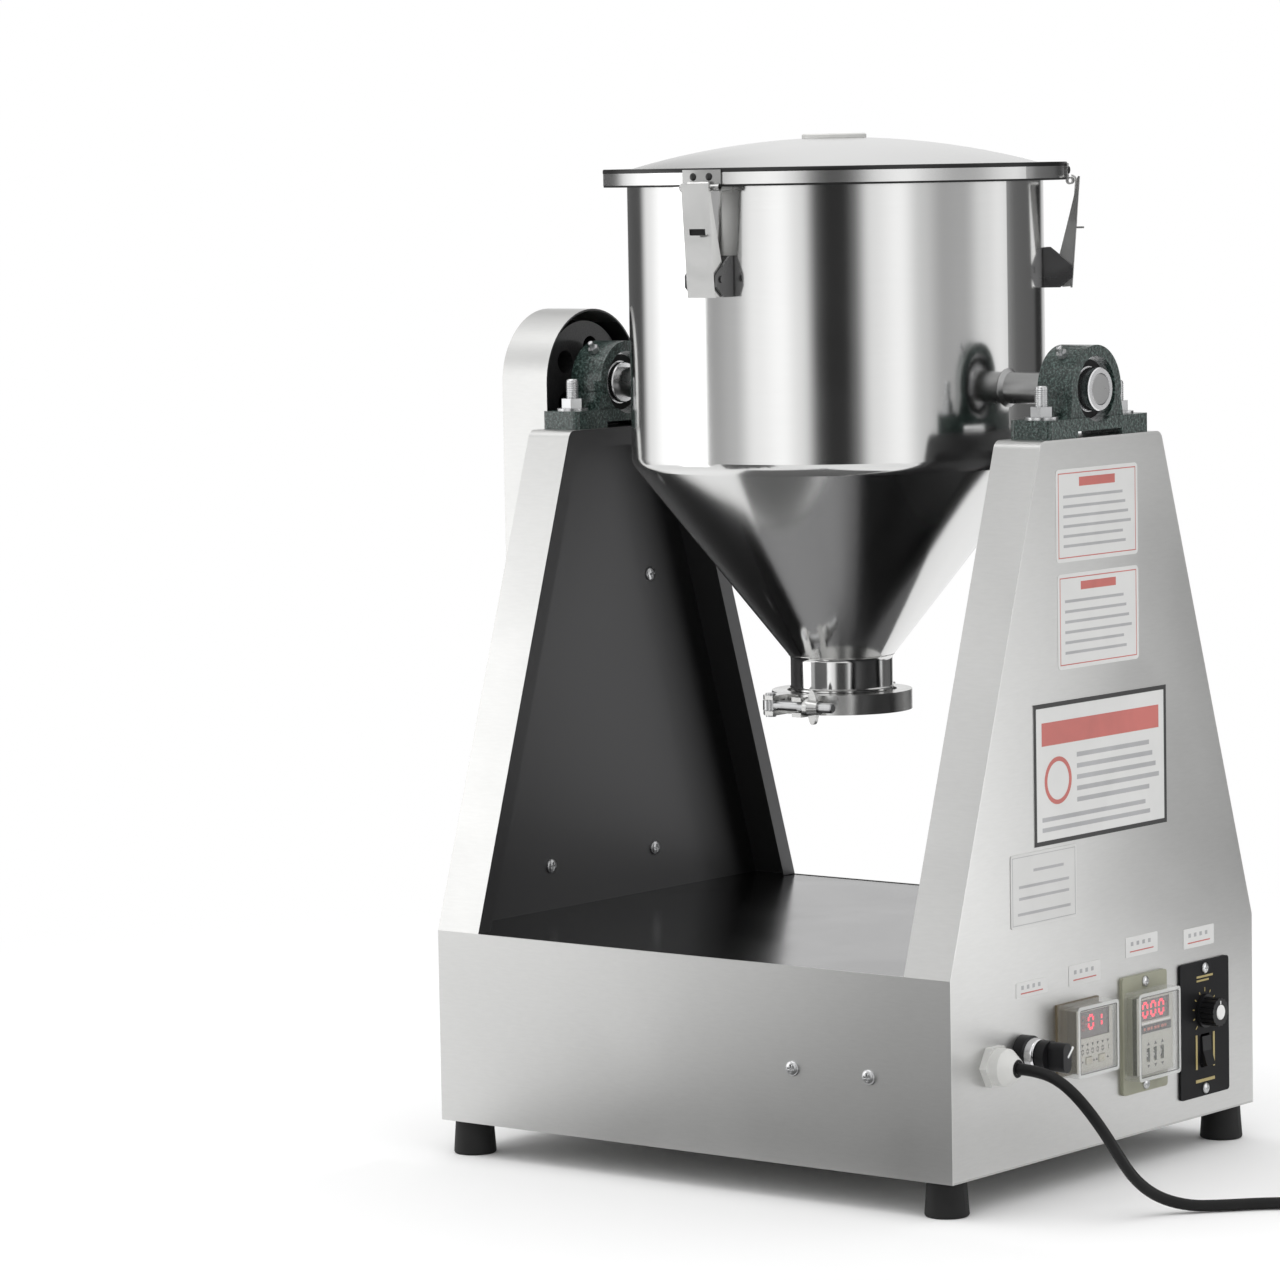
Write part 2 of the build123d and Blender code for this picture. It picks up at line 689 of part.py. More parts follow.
# Catch plates on the lid skirt, each with a rolled edge and two rivet holes
catch_span = degrees(catch_width / plate_radius)
catch_parts = []
for number in range(latch_count):
    middle = latch_plane(number)
    first = Plane(
        middle.origin,
        x_dir=middle.x_dir.rotate(Axis.Z, -catch_span / 2),
        z_dir=middle.z_dir.rotate(Axis.Z, -catch_span / 2),
    )
    with BuildPart() as catch:
        with BuildSketch(first):
            with Locations((plate_radius + latch_sheet / 2, (lid_top - 1 + curl_centre[1]) / 2)):
                Rectangle(latch_sheet, lid_top - 1 - curl_centre[1])
            with Locations(curl_centre):
                Circle(curl_radius)
                Circle(curl_bore, mode=Mode.SUBTRACT)
        revolve(axis=Axis.Z, revolution_arc=catch_span)
        rivet_point = middle.x_dir * (plate_radius + 2) + Vector(0, 0, lid_top - rivet_height)
        with BuildSketch(Plane(rivet_point, x_dir=middle.z_dir, z_dir=middle.x_dir)):
            with Locations((rivet_pitch / 2, 0), (-rivet_pitch / 2, 0)):
                Circle(rivet_radius)
        extrude(amount=-5, mode=Mode.SUBTRACT)
    catch_parts += catch.part.solids()
catch_plates = Compound(children=catch_parts, label="catch_plates")
export_step(catch_plates, "parts/catch_plates.step")

# Latch brackets: a curved foot on the drum wall and two ears with short pivot pins
foot_half_angle = degrees(ear_outside / drum_radius)
bracket_top = lever_pivot_height + latch_bracket_rise
bracket_bottom = lever_pivot_height - latch_bracket_drop
ear_nose = 6.0
bracket_parts = []
for number in range(latch_count):
    middle = latch_plane(number)
    first = Plane(
        middle.origin,
        x_dir=middle.x_dir.rotate(Axis.Z, -foot_half_angle),
        z_dir=middle.z_dir.rotate(Axis.Z, -foot_half_angle),
    )
    with BuildPart() as bracket:
        with BuildSketch(first):
            with Locations((drum_radius + touch + latch_sheet / 2, (bracket_top + bracket_bottom) / 2)):
                Rectangle(latch_sheet, bracket_top - bracket_bottom)
        revolve(axis=Axis.Z, revolution_arc=2 * foot_half_angle)
        for face_shift in (ear_inside, -ear_outside):
            with BuildSketch(latch_plane(number, face_shift)):
                with BuildLine():
                    Polyline(
                        (drum_radius + latch_sheet / 2, bracket_bottom),
                        (drum_radius + latch_sheet / 2, bracket_top),
                        (drum_radius + 5, bracket_top),
                        (lever_pivot[0] + ear_nose, lever_pivot[1] + 3),
                        (lever_pivot[0] + ear_nose, lever_pivot[1] - 6),
                        (lever_pivot[0] - 4, bracket_bottom),
                        close=True,
                    )
                make_face()
            extrude(amount=ear_thickness)
        for face_shift, turn in ((flange_inside - pin_stand, 1), (-flange_inside + pin_stand, -1)):
            with BuildSketch(latch_plane(number, face_shift)):
                with Locations(lever_pivot):
                    Circle(latch_pin_radius)
            extrude(amount=turn * (ear_outside + 1 - flange_inside + pin_stand))
            with BuildSketch(latch_plane(number, turn * ear_outside)):
                with Locations(lever_pivot):
                    Circle(latch_pin_radius + 1.2)
            extrude(amount=turn * 1.2)
    bracket_parts += bracket.part.solids()
latch_brackets = Compound(children=bracket_parts, label="latch_brackets")
export_step(latch_brackets, "parts/latch_brackets.step")

# Levers: a folded channel with a slot, a bent finger tab and shaped side flanges
lever_web_inside = knuckle_radius + lever_gap
lever_web_outside = lever_web_inside + latch_sheet
lever_foot = -5.0
lever_tip = strap_length + 4.0
slot_at = 0.52 * lever_tip
slot_height = 5.0
slot_width = 15.0
tab_reach = 6.0
for number in range(latch_count):
    with BuildPart() as lever:
        with BuildSketch(latch_plane(number)):
            with BuildLine():
                Polyline(
                    along(lever_foot, lever_web_inside),
                    along(lever_tip, lever_web_inside),
                    along(lever_tip, lever_web_outside),
                    along(lever_foot, lever_web_outside),
                    close=True,
                )
            make_face()
        extrude(amount=flange_outside, both=True)
        with BuildSketch(latch_plane(number)):
            with BuildLine():
                Polyline(
                    along(slot_at, lever_web_inside - 1),
                    along(slot_at + slot_height, lever_web_inside - 1),
                    along(slot_at + slot_height, lever_web_outside + 1),
                    along(slot_at, lever_web_outside + 1),
                    close=True,
                )
            make_face()
        extrude(amount=slot_width / 2, both=True, mode=Mode.SUBTRACT)
        with BuildSketch(latch_plane(number)):
            with BuildLine():
                Polyline(
                    along(slot_at - latch_sheet, lever_web_inside + 0.5),
                    along(slot_at, lever_web_inside + 0.5),
                    along(slot_at + 0.5, lever_web_outside + tab_reach),
                    along(slot_at + 0.5 - latch_sheet, lever_web_outside + tab_reach),
                    close=True,
                )
            make_face()
        extrude(amount=slot_width / 2 - 1, both=True)
        for face_shift in (flange_inside, -flange_outside):
            with BuildSketch(latch_plane(number, face_shift)):
                with BuildLine():
                    Polyline(
                        along(lever_foot + 1, lever_web_inside + 0.5),
                        along(lever_foot, -3.0),
                        along(toggle_arm - 2, -8.0),
                        along(toggle_arm + 7, -8.0),
                    )
                    Spline(
                        along(toggle_arm + 7, -8.0),
                        along(0.55 * lever_tip, -2.5),
                        along(lever_tip - 12, lever_web_inside - 1.5),
                    )
                    Polyline(
                        along(lever_tip - 12, lever_web_inside - 1.5),
                        along(lever_tip - 1, lever_web_inside - 0.5),
                        along(lever_tip - 1, lever_web_inside + 0.5),
                        along(lever_foot + 1, lever_web_inside + 0.5),
                    )
                make_face()
                with Locations(lever_pivot):
                    Circle(latch_pin_radius + running_gap, mode=Mode.SUBTRACT)
            extrude(amount=latch_sheet)
        with BuildSketch(latch_plane(number)):
            with Locations(hook_pivot):
                Circle(latch_pin_radius)
        extrude(amount=flange_outside - 0.5, both=True)
    lever.part.label = f"latch_lever_{number + 1}"
    export_step(lever.part, f"parts/latch_lever_{number + 1}.step")

# Hooks: a flat strap with an eye at the foot and a rounded claw over the rolled edge of the catch
for number in range(latch_count):
    with BuildPart() as hook:
        with BuildSketch(latch_plane(number)):
            with BuildLine() as claw_line:
                CenterArc(curl_centre, claw_radius + latch_sheet / 2, claw_start, claw_end - claw_start)
                CenterArc(curl_centre, claw_radius - latch_sheet / 2, claw_start, claw_end - claw_start)
                Line(claw_point(claw_start, -1), claw_point(claw_start, 1))
                Line(claw_point(claw_end, -1), claw_point(claw_end, 1))
            make_face()
            with BuildLine():
                Polyline(
                    along(0, strap_offset - latch_sheet / 2),
                    along(strap_length, strap_offset - latch_sheet / 2),
                    along(strap_length, strap_offset + latch_sheet / 2),
                    along(0, strap_offset + latch_sheet / 2),
                    close=True,
                )
            make_face()
            with Locations(hook_pivot):
                Circle(knuckle_radius)
                Circle(latch_pin_radius + running_gap, mode=Mode.SUBTRACT)
        extrude(amount=hook_width / 2, both=True)
    hook.part.label = f"latch_hook_{number + 1}"
    export_step(hook.part, f"parts/latch_hook_{number + 1}.step")

# Outlet: gasket and blank cap under the ferrule
gasket_top = outlet_height - touch
gasket_bottom = gasket_top - outlet_gasket_thickness + 2 * touch
with BuildPart() as outlet_gasket:
    with BuildSketch(Plane.XY.offset(gasket_top)):
        Circle(flange_radius - 3)
        Circle(neck_radius - drum_wall, mode=Mode.SUBTRACT)
    extrude(amount=gasket_bottom - gasket_top)
outlet_gasket.part.label = "outlet_gasket"
export_step(outlet_gasket.part, "parts/outlet_gasket.step")

cap_top = outlet_height - outlet_gasket_thickness
cap_root = cap_top - flange_edge - (flange_radius - neck_radius) * flange_slope
with BuildPart() as outlet_cap:
    with BuildSketch(Plane.XZ):
        with BuildLine():
            Polyline(
                (0, cap_top),
                (flange_radius, cap_top),
                (flange_radius, cap_top - flange_edge),
                (neck_radius, cap_root),
                (neck_radius - 3, cap_root),
                (neck_radius - 5, cap_root + 2),
                (0, cap_root + 2),
                close=True,
            )
        make_face()
    revolve(axis=Axis.Z)
outlet_cap.part.label = "outlet_cap"
export_step(outlet_cap.part, "parts/outlet_cap.step")

# Clamp halves: a grooved ring split at the middle, lugs at the front, knuckles at the back
clamp_middle = outlet_height - outlet_gasket_thickness / 2
groove_radius = flange_radius + 0.8
groove_half = outlet_gasket_thickness / 2 + flange_edge + clamp_clearance
lip_half = groove_half + (groove_radius - clamp_lip_radius) * flange_slope
hinge_knuckle = 6.0
hinge_y = clamp_radius + hinge_knuckle + 0.5
knuckle_height = clamp_height / 3
knuckle_levels = {
    "left": (-clamp_height / 2, clamp_height / 2 - knuckle_height + running_gap),
    "right": (-knuckle_height / 2 + running_gap / 2,),
}
lug_front = -(bolt_offset + 7.0)
left_lug_outer = clamp_pin_x - 7.0
bolt_slot = 2 * clamp_bolt_radius + 1.0
for side, sign in side_signs.items():
    with BuildPart() as clamp_half:
        with BuildSketch(Plane.XZ):
            with BuildLine():
                Polyline(
                    (clamp_lip_radius, clamp_middle + clamp_height / 2),
                    (clamp_radius, clamp_middle + clamp_height / 2),
                    (clamp_radius, clamp_middle - clamp_height / 2),
                    (clamp_lip_radius, clamp_middle - clamp_height / 2),
                    (clamp_lip_radius, clamp_middle - lip_half),
                    (groove_radius, clamp_middle - groove_half),
                    (groove_radius, clamp_middle + groove_half),
                    (clamp_lip_radius, clamp_middle + lip_half),
                    close=True,
                )
            make_face()
        revolve(axis=Axis.Z)
        with BuildSketch(Plane.XY.offset(clamp_middle - clamp_height / 2)):
            with Locations((sign * (clamp_split / 2 - clamp_radius), 0)):
                Rectangle(2 * clamp_radius, 3 * clamp_radius)
        extrude(amount=clamp_height, mode=Mode.SUBTRACT)
        # Lug at the front
        with BuildSketch(Plane.XY.offset(clamp_middle - clamp_height / 2)):
            if side == "left":
                with BuildLine():
                    Polyline(
                        (left_lug_outer, -clamp_radius * 0.86),
                        (left_lug_outer, lug_front + 6),
                        (left_lug_outer + 6, lug_front),
                        (clamp_pin_x + 7, lug_front),
                        (clamp_pin_x + 7, -clamp_radius + 4),
                        close=True,
                    )
                make_face()
            else:
                with Locations((clamp_pin_x, -bolt_offset)):
                    Circle(nut_seat_radius - 0.15)
                    Circle(nut_seat_radius - 9, mode=Mode.SUBTRACT)
                with Locations((0, lug_front)):
                    Rectangle(4 * clamp_radius, 4 * clamp_radius, align=(Align.CENTER, Align.MAX),
                              mode=Mode.SUBTRACT)
                with Locations((0, -clamp_radius + 6)):
                    Rectangle(4 * clamp_radius, 4 * clamp_radius, align=(Align.CENTER, Align.MIN),
                              mode=Mode.SUBTRACT)
                with Locations((clamp_split / 2, 0)):
                    Rectangle(4 * clamp_radius, 4 * clamp_radius, align=(Align.MAX, Align.CENTER),
                              mode=Mode.SUBTRACT)
        extrude(amount=clamp_height)
        # Slot for the swing bolt
        with BuildSketch(Plane.XY.offset(clamp_middle - bolt_slot / 2)):
            with Locations((0, -clamp_radius - 1.5)):
                Rectangle(3 * clamp_radius, 3 * clamp_radius, align=(Align.CENTER, Align.MAX))
        extrude(amount=bolt_slot, mode=Mode.SUBTRACT)
        # Knuckles at the back
        for level in knuckle_levels[side]:
            with BuildSketch(Plane.XY.offset(clamp_middle + level)):
                with Locations((0, hinge_y)):
                    Circle(hinge_knuckle)
                with Locations((sign * clamp_split / 2, hinge_y)):
                    Rectangle(hinge_knuckle - clamp_split / 2, hinge_y - clamp_radius + 3,
                              align=(Align.MIN if sign > 0 else Align.MAX, Align.MAX))
            extrude(amount=knuckle_height - running_gap)
        with BuildSketch(Plane.XY.offset(clamp_middle - clamp_height / 2)):
            with Locations((0, hinge_y)):
                Circle(clamp_pin_radius + touch)
            if side == "left":
                with Locations((clamp_pin_x, -bolt_offset)):
                    Circle(clamp_pin_radius + touch)
        extrude(amount=clamp_height, mode=Mode.SUBTRACT)
    clamp_half.part.label = f"clamp_half_{side}"
    export_step(clamp_half.part, f"parts/clamp_half_{side}.step")

# Clamp pins: the hinge pin at the back and the pivot of the swing bolt at the front
pin_head = 1.5
with BuildPart() as clamp_pins:
    with BuildSketch(Plane.XY.offset(clamp_middle - clamp_height / 2 - pin_head)):
        with Locations((0, hinge_y), (clamp_pin_x, -bolt_offset)):
            Circle(clamp_pin_radius)
    extrude(amount=clamp_height + 2 * pin_head)
    for level, turn in ((clamp_middle + clamp_height / 2, 1), (clamp_middle - clamp_height / 2, -1)):
        with BuildSketch(Plane.XY.offset(level)):
            with Locations((0, hinge_y), (clamp_pin_x, -bolt_offset)):
                Circle(clamp_pin_radius + 1.2)
        extrude(amount=turn * pin_head)
clamp_pins.part.label = "clamp_pins"
export_step(clamp_pins.part, "parts/clamp_pins.step")

# Swing bolt with its eye
eye_radius = 6.5
with BuildPart() as swing_bolt:
    with BuildSketch(Plane.YZ.offset(clamp_pin_x)):
        with Locations((-bolt_offset, clamp_middle)):
            Circle(clamp_bolt_radius)
    extrude(amount=clamp_bolt_length)
    chamfer(swing_bolt.edges().sort_by(Axis.X)[-1], length=0.8)
    with BuildSketch(Plane.XY.offset(clamp_middle)):
        with Locations((clamp_pin_x, -bolt_offset)):
            Circle(eye_radius)
    extrude(amount=clamp_bolt_radius, both=True)
    with BuildSketch(Plane.XY.offset(clamp_middle)):
        with Locations((clamp_pin_x, -bolt_offset)):
            Circle(clamp_pin_radius + running_gap)
    extrude(amount=clamp_height, both=True, mode=Mode.SUBTRACT)
swing_bolt.part.label = "swing_bolt"
export_step(swing_bolt.part, "parts/swing_bolt.step")

# Wing nut
nut_face = clamp_pin_x + nut_seat_radius
nut_length = 13.0
hub_radius = 7.2
wing_thickness = 4.0
nut_axis = Axis((0, -bolt_offset, clamp_middle), (1, 0, 0))
with BuildPart() as wing_nut:
    with BuildSketch(Plane.XZ.offset(bolt_offset)):
        with BuildLine():
            Polyline(
                (nut_face, clamp_middle),
                (nut_face, clamp_middle + hub_radius),
                (nut_face + 4, clamp_middle + hub_radius),
                (nut_face + nut_length, clamp_middle + hub_radius - 1.5),
                (nut_face + nut_length, clamp_middle),
                close=True,
            )
        make_face()
    revolve(axis=nut_axis)
    with BuildSketch(Plane.XZ.offset(bolt_offset)):
        with Locations((nut_face + 6.5, clamp_middle)):
            Ellipse(4.5, wing_reach, rotation=0)
    extrude(amount=wing_thickness / 2, both=True)
    with BuildSketch(Plane.YZ.offset(nut_face)):
        with Locations((-bolt_offset, clamp_middle)):
            Circle(clamp_bolt_radius + running_gap)
    extrude(amount=nut_length + 1, mode=Mode.SUBTRACT)
wing_nut.part.label = "wing_nut"
export_step(wing_nut.part, "parts/wing_nut.step")

# Pulleys with a V groove, turned about their shafts
belt_plane = Plane.YZ.offset(belt_plane_x)
flank = tan(radians(belt_flank_angle))
half_top = belt_width / 2 + belt_gap
pulley_sizes = {
    "drum_pulley": (trunnion_height, drum_pulley_radius, shaft_bore),
    "motor_pulley": (motor_height, motor_pulley_radius, motor_shaft_radius + touch),
}
for name, (centre_height, pitch_radius, bore_radius) in pulley_sizes.items():
    rim = pitch_radius + belt_thickness / 2
    groove_bottom = pitch_radius - belt_thickness / 2 - 1.2
    half_bottom = half_top - (rim - groove_bottom) * flank
    with BuildPart() as pulley:
        with BuildSketch(Plane.XZ):
            with BuildLine():
                Polyline(
                    (belt_plane_x - pulley_width / 2, centre_height + bore_radius),
                    (belt_plane_x - pulley_width / 2, centre_height + rim),
                    (belt_plane_x - half_top, centre_height + rim),
                    (belt_plane_x - half_bottom, centre_height + groove_bottom),
                    (belt_plane_x + half_bottom, centre_height + groove_bottom),
                    (belt_plane_x + half_top, centre_height + rim),
                    (belt_plane_x + pulley_width / 2, centre_height + rim),
                    (belt_plane_x + pulley_width / 2, centre_height + bore_radius),
                    close=True,
                )
            make_face()
        revolve(axis=Axis((0, 0, centre_height), (1, 0, 0)))
        if name == "drum_pulley":
            with BuildSketch(Plane.YZ.offset(belt_plane_x - pulley_width / 2)):
                with Locations((0, centre_height)):
                    with PolarLocations(0.62 * pitch_radius, 5):
                        Circle(0.2 * pitch_radius)
            extrude(amount=pulley_width, mode=Mode.SUBTRACT)
    pulley.part.label = name
    export_step(pulley.part, f"parts/{name}.step")

# Belt round the two pulleys, with its true tangents
belt_reach = trunnion_height - motor_height
lean = degrees(asin((drum_pulley_radius - motor_pulley_radius) / belt_reach))
with BuildPart() as drive_belt:
    with BuildLine(belt_plane) as belt_path:
        top_arc = CenterArc((0, trunnion_height), drum_pulley_radius, -lean, 180 + 2 * lean)
        bottom_arc = CenterArc((0, motor_height), motor_pulley_radius, 180 + lean, 180 - 2 * lean)
        Line(top_arc @ 1, bottom_arc @ 0)
        Line(bottom_arc @ 1, top_arc @ 0)
    belt_start = Plane(
        belt_plane.from_local_coords((0, trunnion_height + drum_pulley_radius, 0)),
        x_dir=(1, 0, 0),
        z_dir=(0, 1, 0),
    )
    with BuildSketch(belt_start) as belt_section:
        with BuildLine():
            Polyline(
                (-belt_width / 2 + belt_thickness * flank, belt_thickness / 2),
                (belt_width / 2 - belt_thickness * flank, belt_thickness / 2),
                (belt_width / 2, -belt_thickness / 2),
                (-belt_width / 2, -belt_thickness / 2),
                close=True,
            )
        make_face()
    sweep(sections=belt_section.sketch, path=belt_path.wires()[0])
drive_belt.part.label = "drive_belt"
export_step(drive_belt.part, "parts/drive_belt.step")

# Geared motor lying across the base, its shaft through the left panel
gearbox_face = -inner_face + 12.0
shaft_outer_end = belt_plane_x - pulley_width / 2 - 3
with BuildPart() as gear_motor:
    with BuildSketch(Plane.YZ.offset(gearbox_face)):
        with Locations((0, motor_height)):
            RectangleRounded(gearbox_width, gearbox_width, 6)
    extrude(amount=gearbox_length)
    with BuildSketch(Plane.YZ.offset(gearbox_face + gearbox_length)):
        with Locations((0, motor_height)):
            Circle(motor_radius)
    extrude(amount=motor_length)
    with BuildSketch(Plane.YZ.offset(gearbox_face)):
        with Locations((0, motor_height)):
            Circle(motor_shaft_radius + running_gap)
    extrude(amount=gearbox_length * 0.8, mode=Mode.SUBTRACT)
gear_motor.part.label = "gear_motor"
export_step(gear_motor.part, "parts/gear_motor.step")

with BuildPart() as motor_shaft:
    with BuildSketch(Plane.YZ.offset(shaft_outer_end)):
        with Locations((0, motor_height)):
            Circle(motor_shaft_radius)
    extrude(amount=gearbox_face + gearbox_length * 0.6 - shaft_outer_end)
motor_shaft.part.label = "motor_shaft"
export_step(motor_shaft.part, "parts/motor_shaft.step")

# Motor bracket: a foot on the pan, a saddle under the motor and a flange held by the front screws
bracket_x = sum(front_screw_x) / 2
bracket_width = 110.0
bracket_sheet = 3.0
cradle_x = gearbox_face + gearbox_length + motor_length / 2
pan_top = foot_height + sheet
with BuildPart() as motor_bracket:
    with BuildSketch(Plane.XY.offset(pan_top)):
        with Locations(((gearbox_face + bracket_x + bracket_width / 2) / 2, sheet - half_depth)):
            Rectangle(bracket_x + bracket_width / 2 - gearbox_face, half_depth - sheet + gearbox_width / 2,
                      align=(Align.CENTER, Align.MIN))
        with Locations(*foot_spots):
            Circle(frame_screw_radius + 1, mode=Mode.SUBTRACT)
    extrude(amount=bracket_sheet)
    with BuildSketch(Plane.XZ.offset(half_depth - sheet - touch)):
        with Locations((bracket_x, pan_top)):
            Rectangle(bracket_width, front_screw_height - pan_top + 16, align=(Align.CENTER, Align.MIN))
        with Locations(*[(x, front_screw_height) for x in front_screw_x]):
            Circle(frame_screw_radius + touch, mode=Mode.SUBTRACT)
    extrude(amount=-bracket_sheet)
    with BuildSketch(Plane.XY.offset(pan_top)):
        with Locations((gearbox_face + gearbox_length / 2, 0)):
            Rectangle(gearbox_length, gearbox_width)
    extrude(amount=motor_height - gearbox_width / 2 - touch - pan_top)
    with BuildSketch(Plane.YZ.offset(cradle_x)):
        with Locations((0, pan_top)):
            Rectangle(motor_radius, motor_height - pan_top, align=(Align.CENTER, Align.MIN))
        with Locations((0, motor_height)):
            Circle(motor_radius + touch, mode=Mode.SUBTRACT)
    extrude(amount=20, both=True)
motor_bracket.part.label = "motor_bracket"
export_step(motor_bracket.part, "parts/motor_bracket.step")

# Belt guard: a folded cover with a round top, open towards the machine, held by four tabs
with BuildPart() as belt_guard:
    with BuildSketch(Plane.YZ.offset(-half_width - touch)):
        with Locations((0, trunnion_height)):
            Circle(guard_radius)
        with Locations((0, trunnion_height)):
            Rectangle(2 * guard_radius, trunnion_height - guard_bottom, align=(Align.CENTER, Align.MAX))
    extrude(amount=-guard_depth)
    with BuildSketch(Plane.YZ.offset(-half_width - touch)):
        with Locations((0, trunnion_height)):
            Circle(guard_radius - sheet)
        with Locations((0, trunnion_height)):
            Rectangle(2 * (guard_radius - sheet), trunnion_height - guard_bottom - sheet,
                      align=(Align.CENTER, Align.MAX))
    extrude(amount=-guard_depth + sheet, mode=Mode.SUBTRACT)
    with BuildSketch(Plane.YZ.offset(-half_width - touch)):
        for y, z in guard_screw_spots:
            turn = 1 if y > 0 else -1
            with Locations((turn * (guard_radius - sheet / 2 + guard_tab_width / 2), z)):
                Rectangle(guard_tab_width + sheet, guard_tab_height)
        with Locations(*guard_screw_spots):
            Circle(frame_screw_radius + touch, mode=Mode.SUBTRACT)
    extrude(amount=-sheet)
belt_guard.part.label = "belt_guard"
export_step(belt_guard.part, "parts/belt_guard.step")

# Cable gland: hexagon against the panel, domed nut with the cord hole, threaded tail inside
panel_plane = Plane.YZ.offset(panel_x)
cord_radius = cord_diameter / 2
gland_hexagon_reach = 0.25 * gland_reach
gland_dome_reach = 0.6 * gland_reach
with BuildPart() as cable_gland:
    with BuildSketch(panel_plane):
        with Locations((gland_y, gland_z)):
            RegularPolygon(gland_radius, 6, major_radius=False)
    extrude(amount=gland_hexagon_reach)
    with BuildSketch(panel_plane.offset(gland_hexagon_reach)):
        with Locations((gland_y, gland_z)):
            Circle(gland_radius - 0.5)
    extrude(amount=gland_dome_reach - gland_hexagon_reach)
    with BuildSketch(panel_plane.offset(gland_dome_reach)) as gland_dome_root:
        with Locations((gland_y, gland_z)):
            Circle(gland_radius - 0.5)
    with BuildSketch(panel_plane.offset(gland_reach)) as gland_dome_tip:
        with Locations((gland_y, gland_z)):
            Circle(cord_radius + 3)
    loft(sections=[gland_dome_root.sketch, gland_dome_tip.sketch])
    with BuildSketch(panel_plane):
        with Locations((gland_y, gland_z)):
            Circle(gland_radius - 4 - touch)
    extrude(amount=-14)
    with BuildSketch(panel_plane.offset(-sheet - 0.2)):
        with Locations((gland_y, gland_z)):
            RegularPolygon(gland_radius, 6, major_radius=False)
    extrude(amount=-4)
cable_gland.part.label = "cable_gland"
export_step(cable_gland.part, "parts/cable_gland.step")

# Selector switch: collar and ring on the panel, knob that turns about X
with BuildPart() as switch_collar:
    with BuildSketch(panel_plane):
        with Locations((switch_y, switch_z)):
            Circle(switch_collar_radius)
    extrude(amount=switch_collar_reach)
    with BuildSketch(panel_plane.offset(switch_collar_reach)):
        with Locations((switch_y, switch_z)):
            Circle(switch_ring_radius)
    extrude(amount=8)
    with BuildSketch(panel_plane):
        with Locations((switch_y, switch_z)):
            Circle(switch_ring_radius - 2 - touch)
    extrude(amount=-case_depth)
    with BuildSketch(panel_plane.offset(switch_collar_reach + 8)):
        with Locations((switch_y, switch_z)):
            Circle(switch_knob_radius - 1.5)
    extrude(amount=-12, mode=Mode.SUBTRACT)
switch_collar.part.label = "switch_collar"
export_step(switch_collar.part, "parts/switch_collar.step")

knob_root = switch_collar_reach - 2.0
with BuildPart() as switch_knob:
    with BuildSketch(panel_plane.offset(knob_root)):
        with Locations((switch_y, switch_z)):
            Circle(switch_knob_radius - 1.5 - cover_gap)
    extrude(amount=12)
    with BuildSketch(panel_plane.offset(knob_root + 12)):
        with Locations((switch_y, switch_z)):
            Circle(switch_knob_radius)
    extrude(amount=8)
    with BuildSketch(panel_plane.offset(knob_root + 20)) as grip_root:
        with Locations((switch_y, switch_z)):
            SlotOverall(2 * switch_knob_radius - 1, 11, rotation=90)
    extrude(amount=switch_knob_reach - knob_root - 20)
switch_knob.part.label = "switch_knob"
export_step(switch_knob.part, "parts/switch_knob.step")


def boxed(plane, width, height, at_y, at_z):
    """A rectangle on a panel plane, kept as a sketch of its own."""
    with BuildSketch(plane) as frame_sketch:
        with Locations((at_y, at_z)):
            Rectangle(width, height)
    return frame_sketch.sketch


# Batch counter: case with a window face, two keys and a clear cover that pulls off
key_width = 9.0
key_height = 6.0
key_reach = 2.5
key_travel = 1.5
key_spots = [(counter_y + shift, counter_z - 16) for shift in (-9.0, 9.0)]
counter_inner_w = counter_width - 8
counter_inner_h = counter_height - 8
with BuildPart() as counter_case:
    extrude(boxed(panel_plane, counter_width, counter_height, counter_y, counter_z), amount=2)
    extrude(boxed(panel_plane.offset(2), counter_inner_w, counter_inner_h, counter_y, counter_z),
            amount=counter_case_reach - 2)
    extrude(boxed(panel_plane, counter_width - 10.2, counter_height - 9.2, counter_y, counter_z),
            amount=-case_depth)
    with BuildSketch(panel_plane.offset(counter_case_reach)):
        with Locations(*key_spots):
            Rectangle(key_width, key_height)
    extrude(amount=-key_travel - 4, mode=Mode.SUBTRACT)
    with BuildSketch(panel_plane.offset(counter_case_reach)):
        with Locations((counter_y, counter_z + 8)):
            Rectangle(counter_inner_w - 14, 17)
    extrude(amount=-1.2, mode=Mode.SUBTRACT)
counter_case.part.label = "counter_case"
export_step(counter_case.part, "parts/counter_case.step")

for number, spot in enumerate(key_spots, start=1):
    with BuildPart() as counter_key:
        extrude(boxed(panel_plane.offset(counter_case_reach - key_travel - 0.5),
                      key_width - 2 * cover_gap, key_height - 2 * cover_gap, *spot),
                amount=key_travel + 0.5 + key_reach)
        fillet(counter_key.faces().sort_by(Axis.X)[-1].edges(), radius=0.6)
    counter_key.part.label = f"counter_key_{number}"
    export_step(counter_key.part, f"parts/counter_key_{number}.step")

with BuildPart() as counter_cover:
    extrude(boxed(panel_plane.offset(2 + touch), counter_width - 1, counter_height - 1, counter_y, counter_z),
            amount=counter_cover_reach - 2 - touch)
    fillet(counter_cover.edges().filter_by(Axis.X), radius=2.5)
    extrude(boxed(panel_plane.offset(2 + touch), counter_inner_w + 2 * cover_gap,
                  counter_inner_h + 2 * cover_gap, counter_y, counter_z),
            amount=counter_cover_reach - 2 - cover_wall, mode=Mode.SUBTRACT)
counter_cover.part.label = "counter_cover"
export_step(counter_cover.part, "parts/counter_cover.step")

